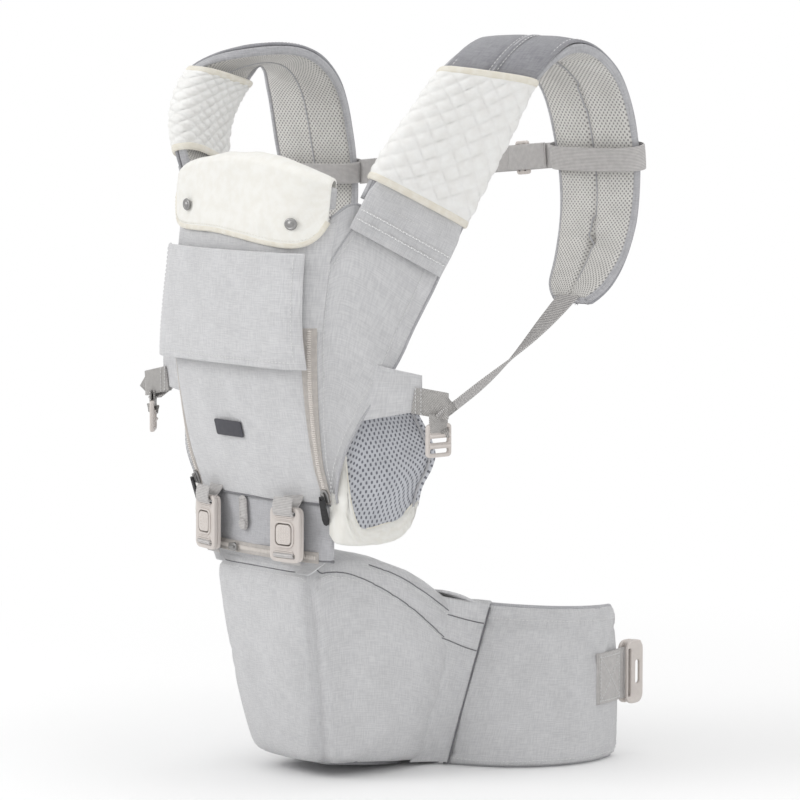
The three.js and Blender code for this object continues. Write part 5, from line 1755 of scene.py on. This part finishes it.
# ------------------------------------------------------------------------------- room, light and camera
def area(name, place, target, size, power):
    light = bpy.data.lights.new(name, "AREA")
    light.size, light.energy = size, power
    obj = bpy.data.objects.new(name, light)
    obj.location = place
    obj.rotation_euler = (Vector(target) - Vector(place)).to_track_quat("-Z", "Y").to_euler()
    bpy.context.scene.collection.objects.link(obj)


def make_room():
    mesh = bpy.data.meshes.new("floor")
    s = 30.0
    mesh.from_pydata([(-s, -s, 0), (s, -s, 0), (s, s, 0), (-s, s, 0)], [], [(0, 1, 2, 3)])
    floor = bpy.data.objects.new("floor", mesh)
    material = bpy.data.materials.new("pale_floor")
    material.use_nodes = True
    tree = material.node_tree
    shader = tree.nodes["Principled BSDF"]
    shader.inputs["Base Color"].default_value = (0.95, 0.95, 0.95, 1)
    shader.inputs["Roughness"].default_value = 0.8
    # Away from the object the floor fades into the white backdrop.
    place = tree.nodes.new("ShaderNodeNewGeometry").outputs["Position"]
    far = tree.nodes.new("ShaderNodeVectorMath")
    far.operation = "LENGTH"
    tree.links.new(place, far.inputs[0])
    fade = tree.nodes.new("ShaderNodeMapRange")
    fade.interpolation_type = "SMOOTHSTEP"
    for key, value in ((1, 0.35), (2, 1.1)):
        fade.inputs[key].default_value = value
    tree.links.new(far.outputs["Value"], fade.inputs[0])
    glow = tree.nodes.new("ShaderNodeEmission")
    glow.inputs["Strength"].default_value = 1.0
    blend = tree.nodes.new("ShaderNodeMixShader")
    tree.links.new(fade.outputs[0], blend.inputs[0])
    tree.links.new(shader.outputs[0], blend.inputs[1])
    tree.links.new(glow.outputs[0], blend.inputs[2])
    tree.links.new(blend.outputs[0], tree.nodes["Material Output"].inputs[0])
    mesh.materials.append(material)
    bpy.context.scene.collection.objects.link(floor)
    world = bpy.data.worlds.new("studio")
    world.use_nodes = True
    light = world.node_tree.nodes["Background"]
    light.inputs["Strength"].default_value = 0.78
    light.inputs["Color"].default_value = (1, 1, 1, 1)
    seen = world.node_tree.nodes.new("ShaderNodeBackground")
    seen.inputs["Color"].default_value = (1, 1, 1, 1)
    seen.inputs["Strength"].default_value = 1.0
    path = world.node_tree.nodes.new("ShaderNodeLightPath")
    choose = world.node_tree.nodes.new("ShaderNodeMixShader")
    world.node_tree.links.new(path.outputs["Is Camera Ray"], choose.inputs[0])
    world.node_tree.links.new(light.outputs[0], choose.inputs[1])
    world.node_tree.links.new(seen.outputs[0], choose.inputs[2])
    world.node_tree.links.new(choose.outputs[0], world.node_tree.nodes["World Output"].inputs[0])
    bpy.context.scene.world = world
    bpy.context.scene.view_settings.view_transform = "Standard"
    centre = (0, 0, 0.4)
    area("key", (-1.4, -2.8, 2.2), centre, 1.5, 40)
    area("fill", (3.4, 0.4, 1.4), centre, 2.4, 9)
    area("top", (0.3, 0.3, 3.2), centre, 1.6, 16)


def make_camera():
    azimuth, elevation, distance = math.radians(50), math.radians(6), 4.0
    back = Vector((math.sin(azimuth) * math.cos(elevation), -math.cos(azimuth) * math.cos(elevation),
                   math.sin(elevation)))
    camera = bpy.data.cameras.new("camera")
    camera.lens, camera.sensor_width = 180, 36
    obj = bpy.data.objects.new("camera", camera)
    target = Vector(metres(vec(0, -113.6, 359.6)))
    obj.location = target + back * distance
    obj.rotation_euler = (-back).to_track_quat("-Z", "Y").to_euler()
    bpy.context.scene.collection.objects.link(obj)
    bpy.context.scene.camera = obj


make_room()
make_camera()
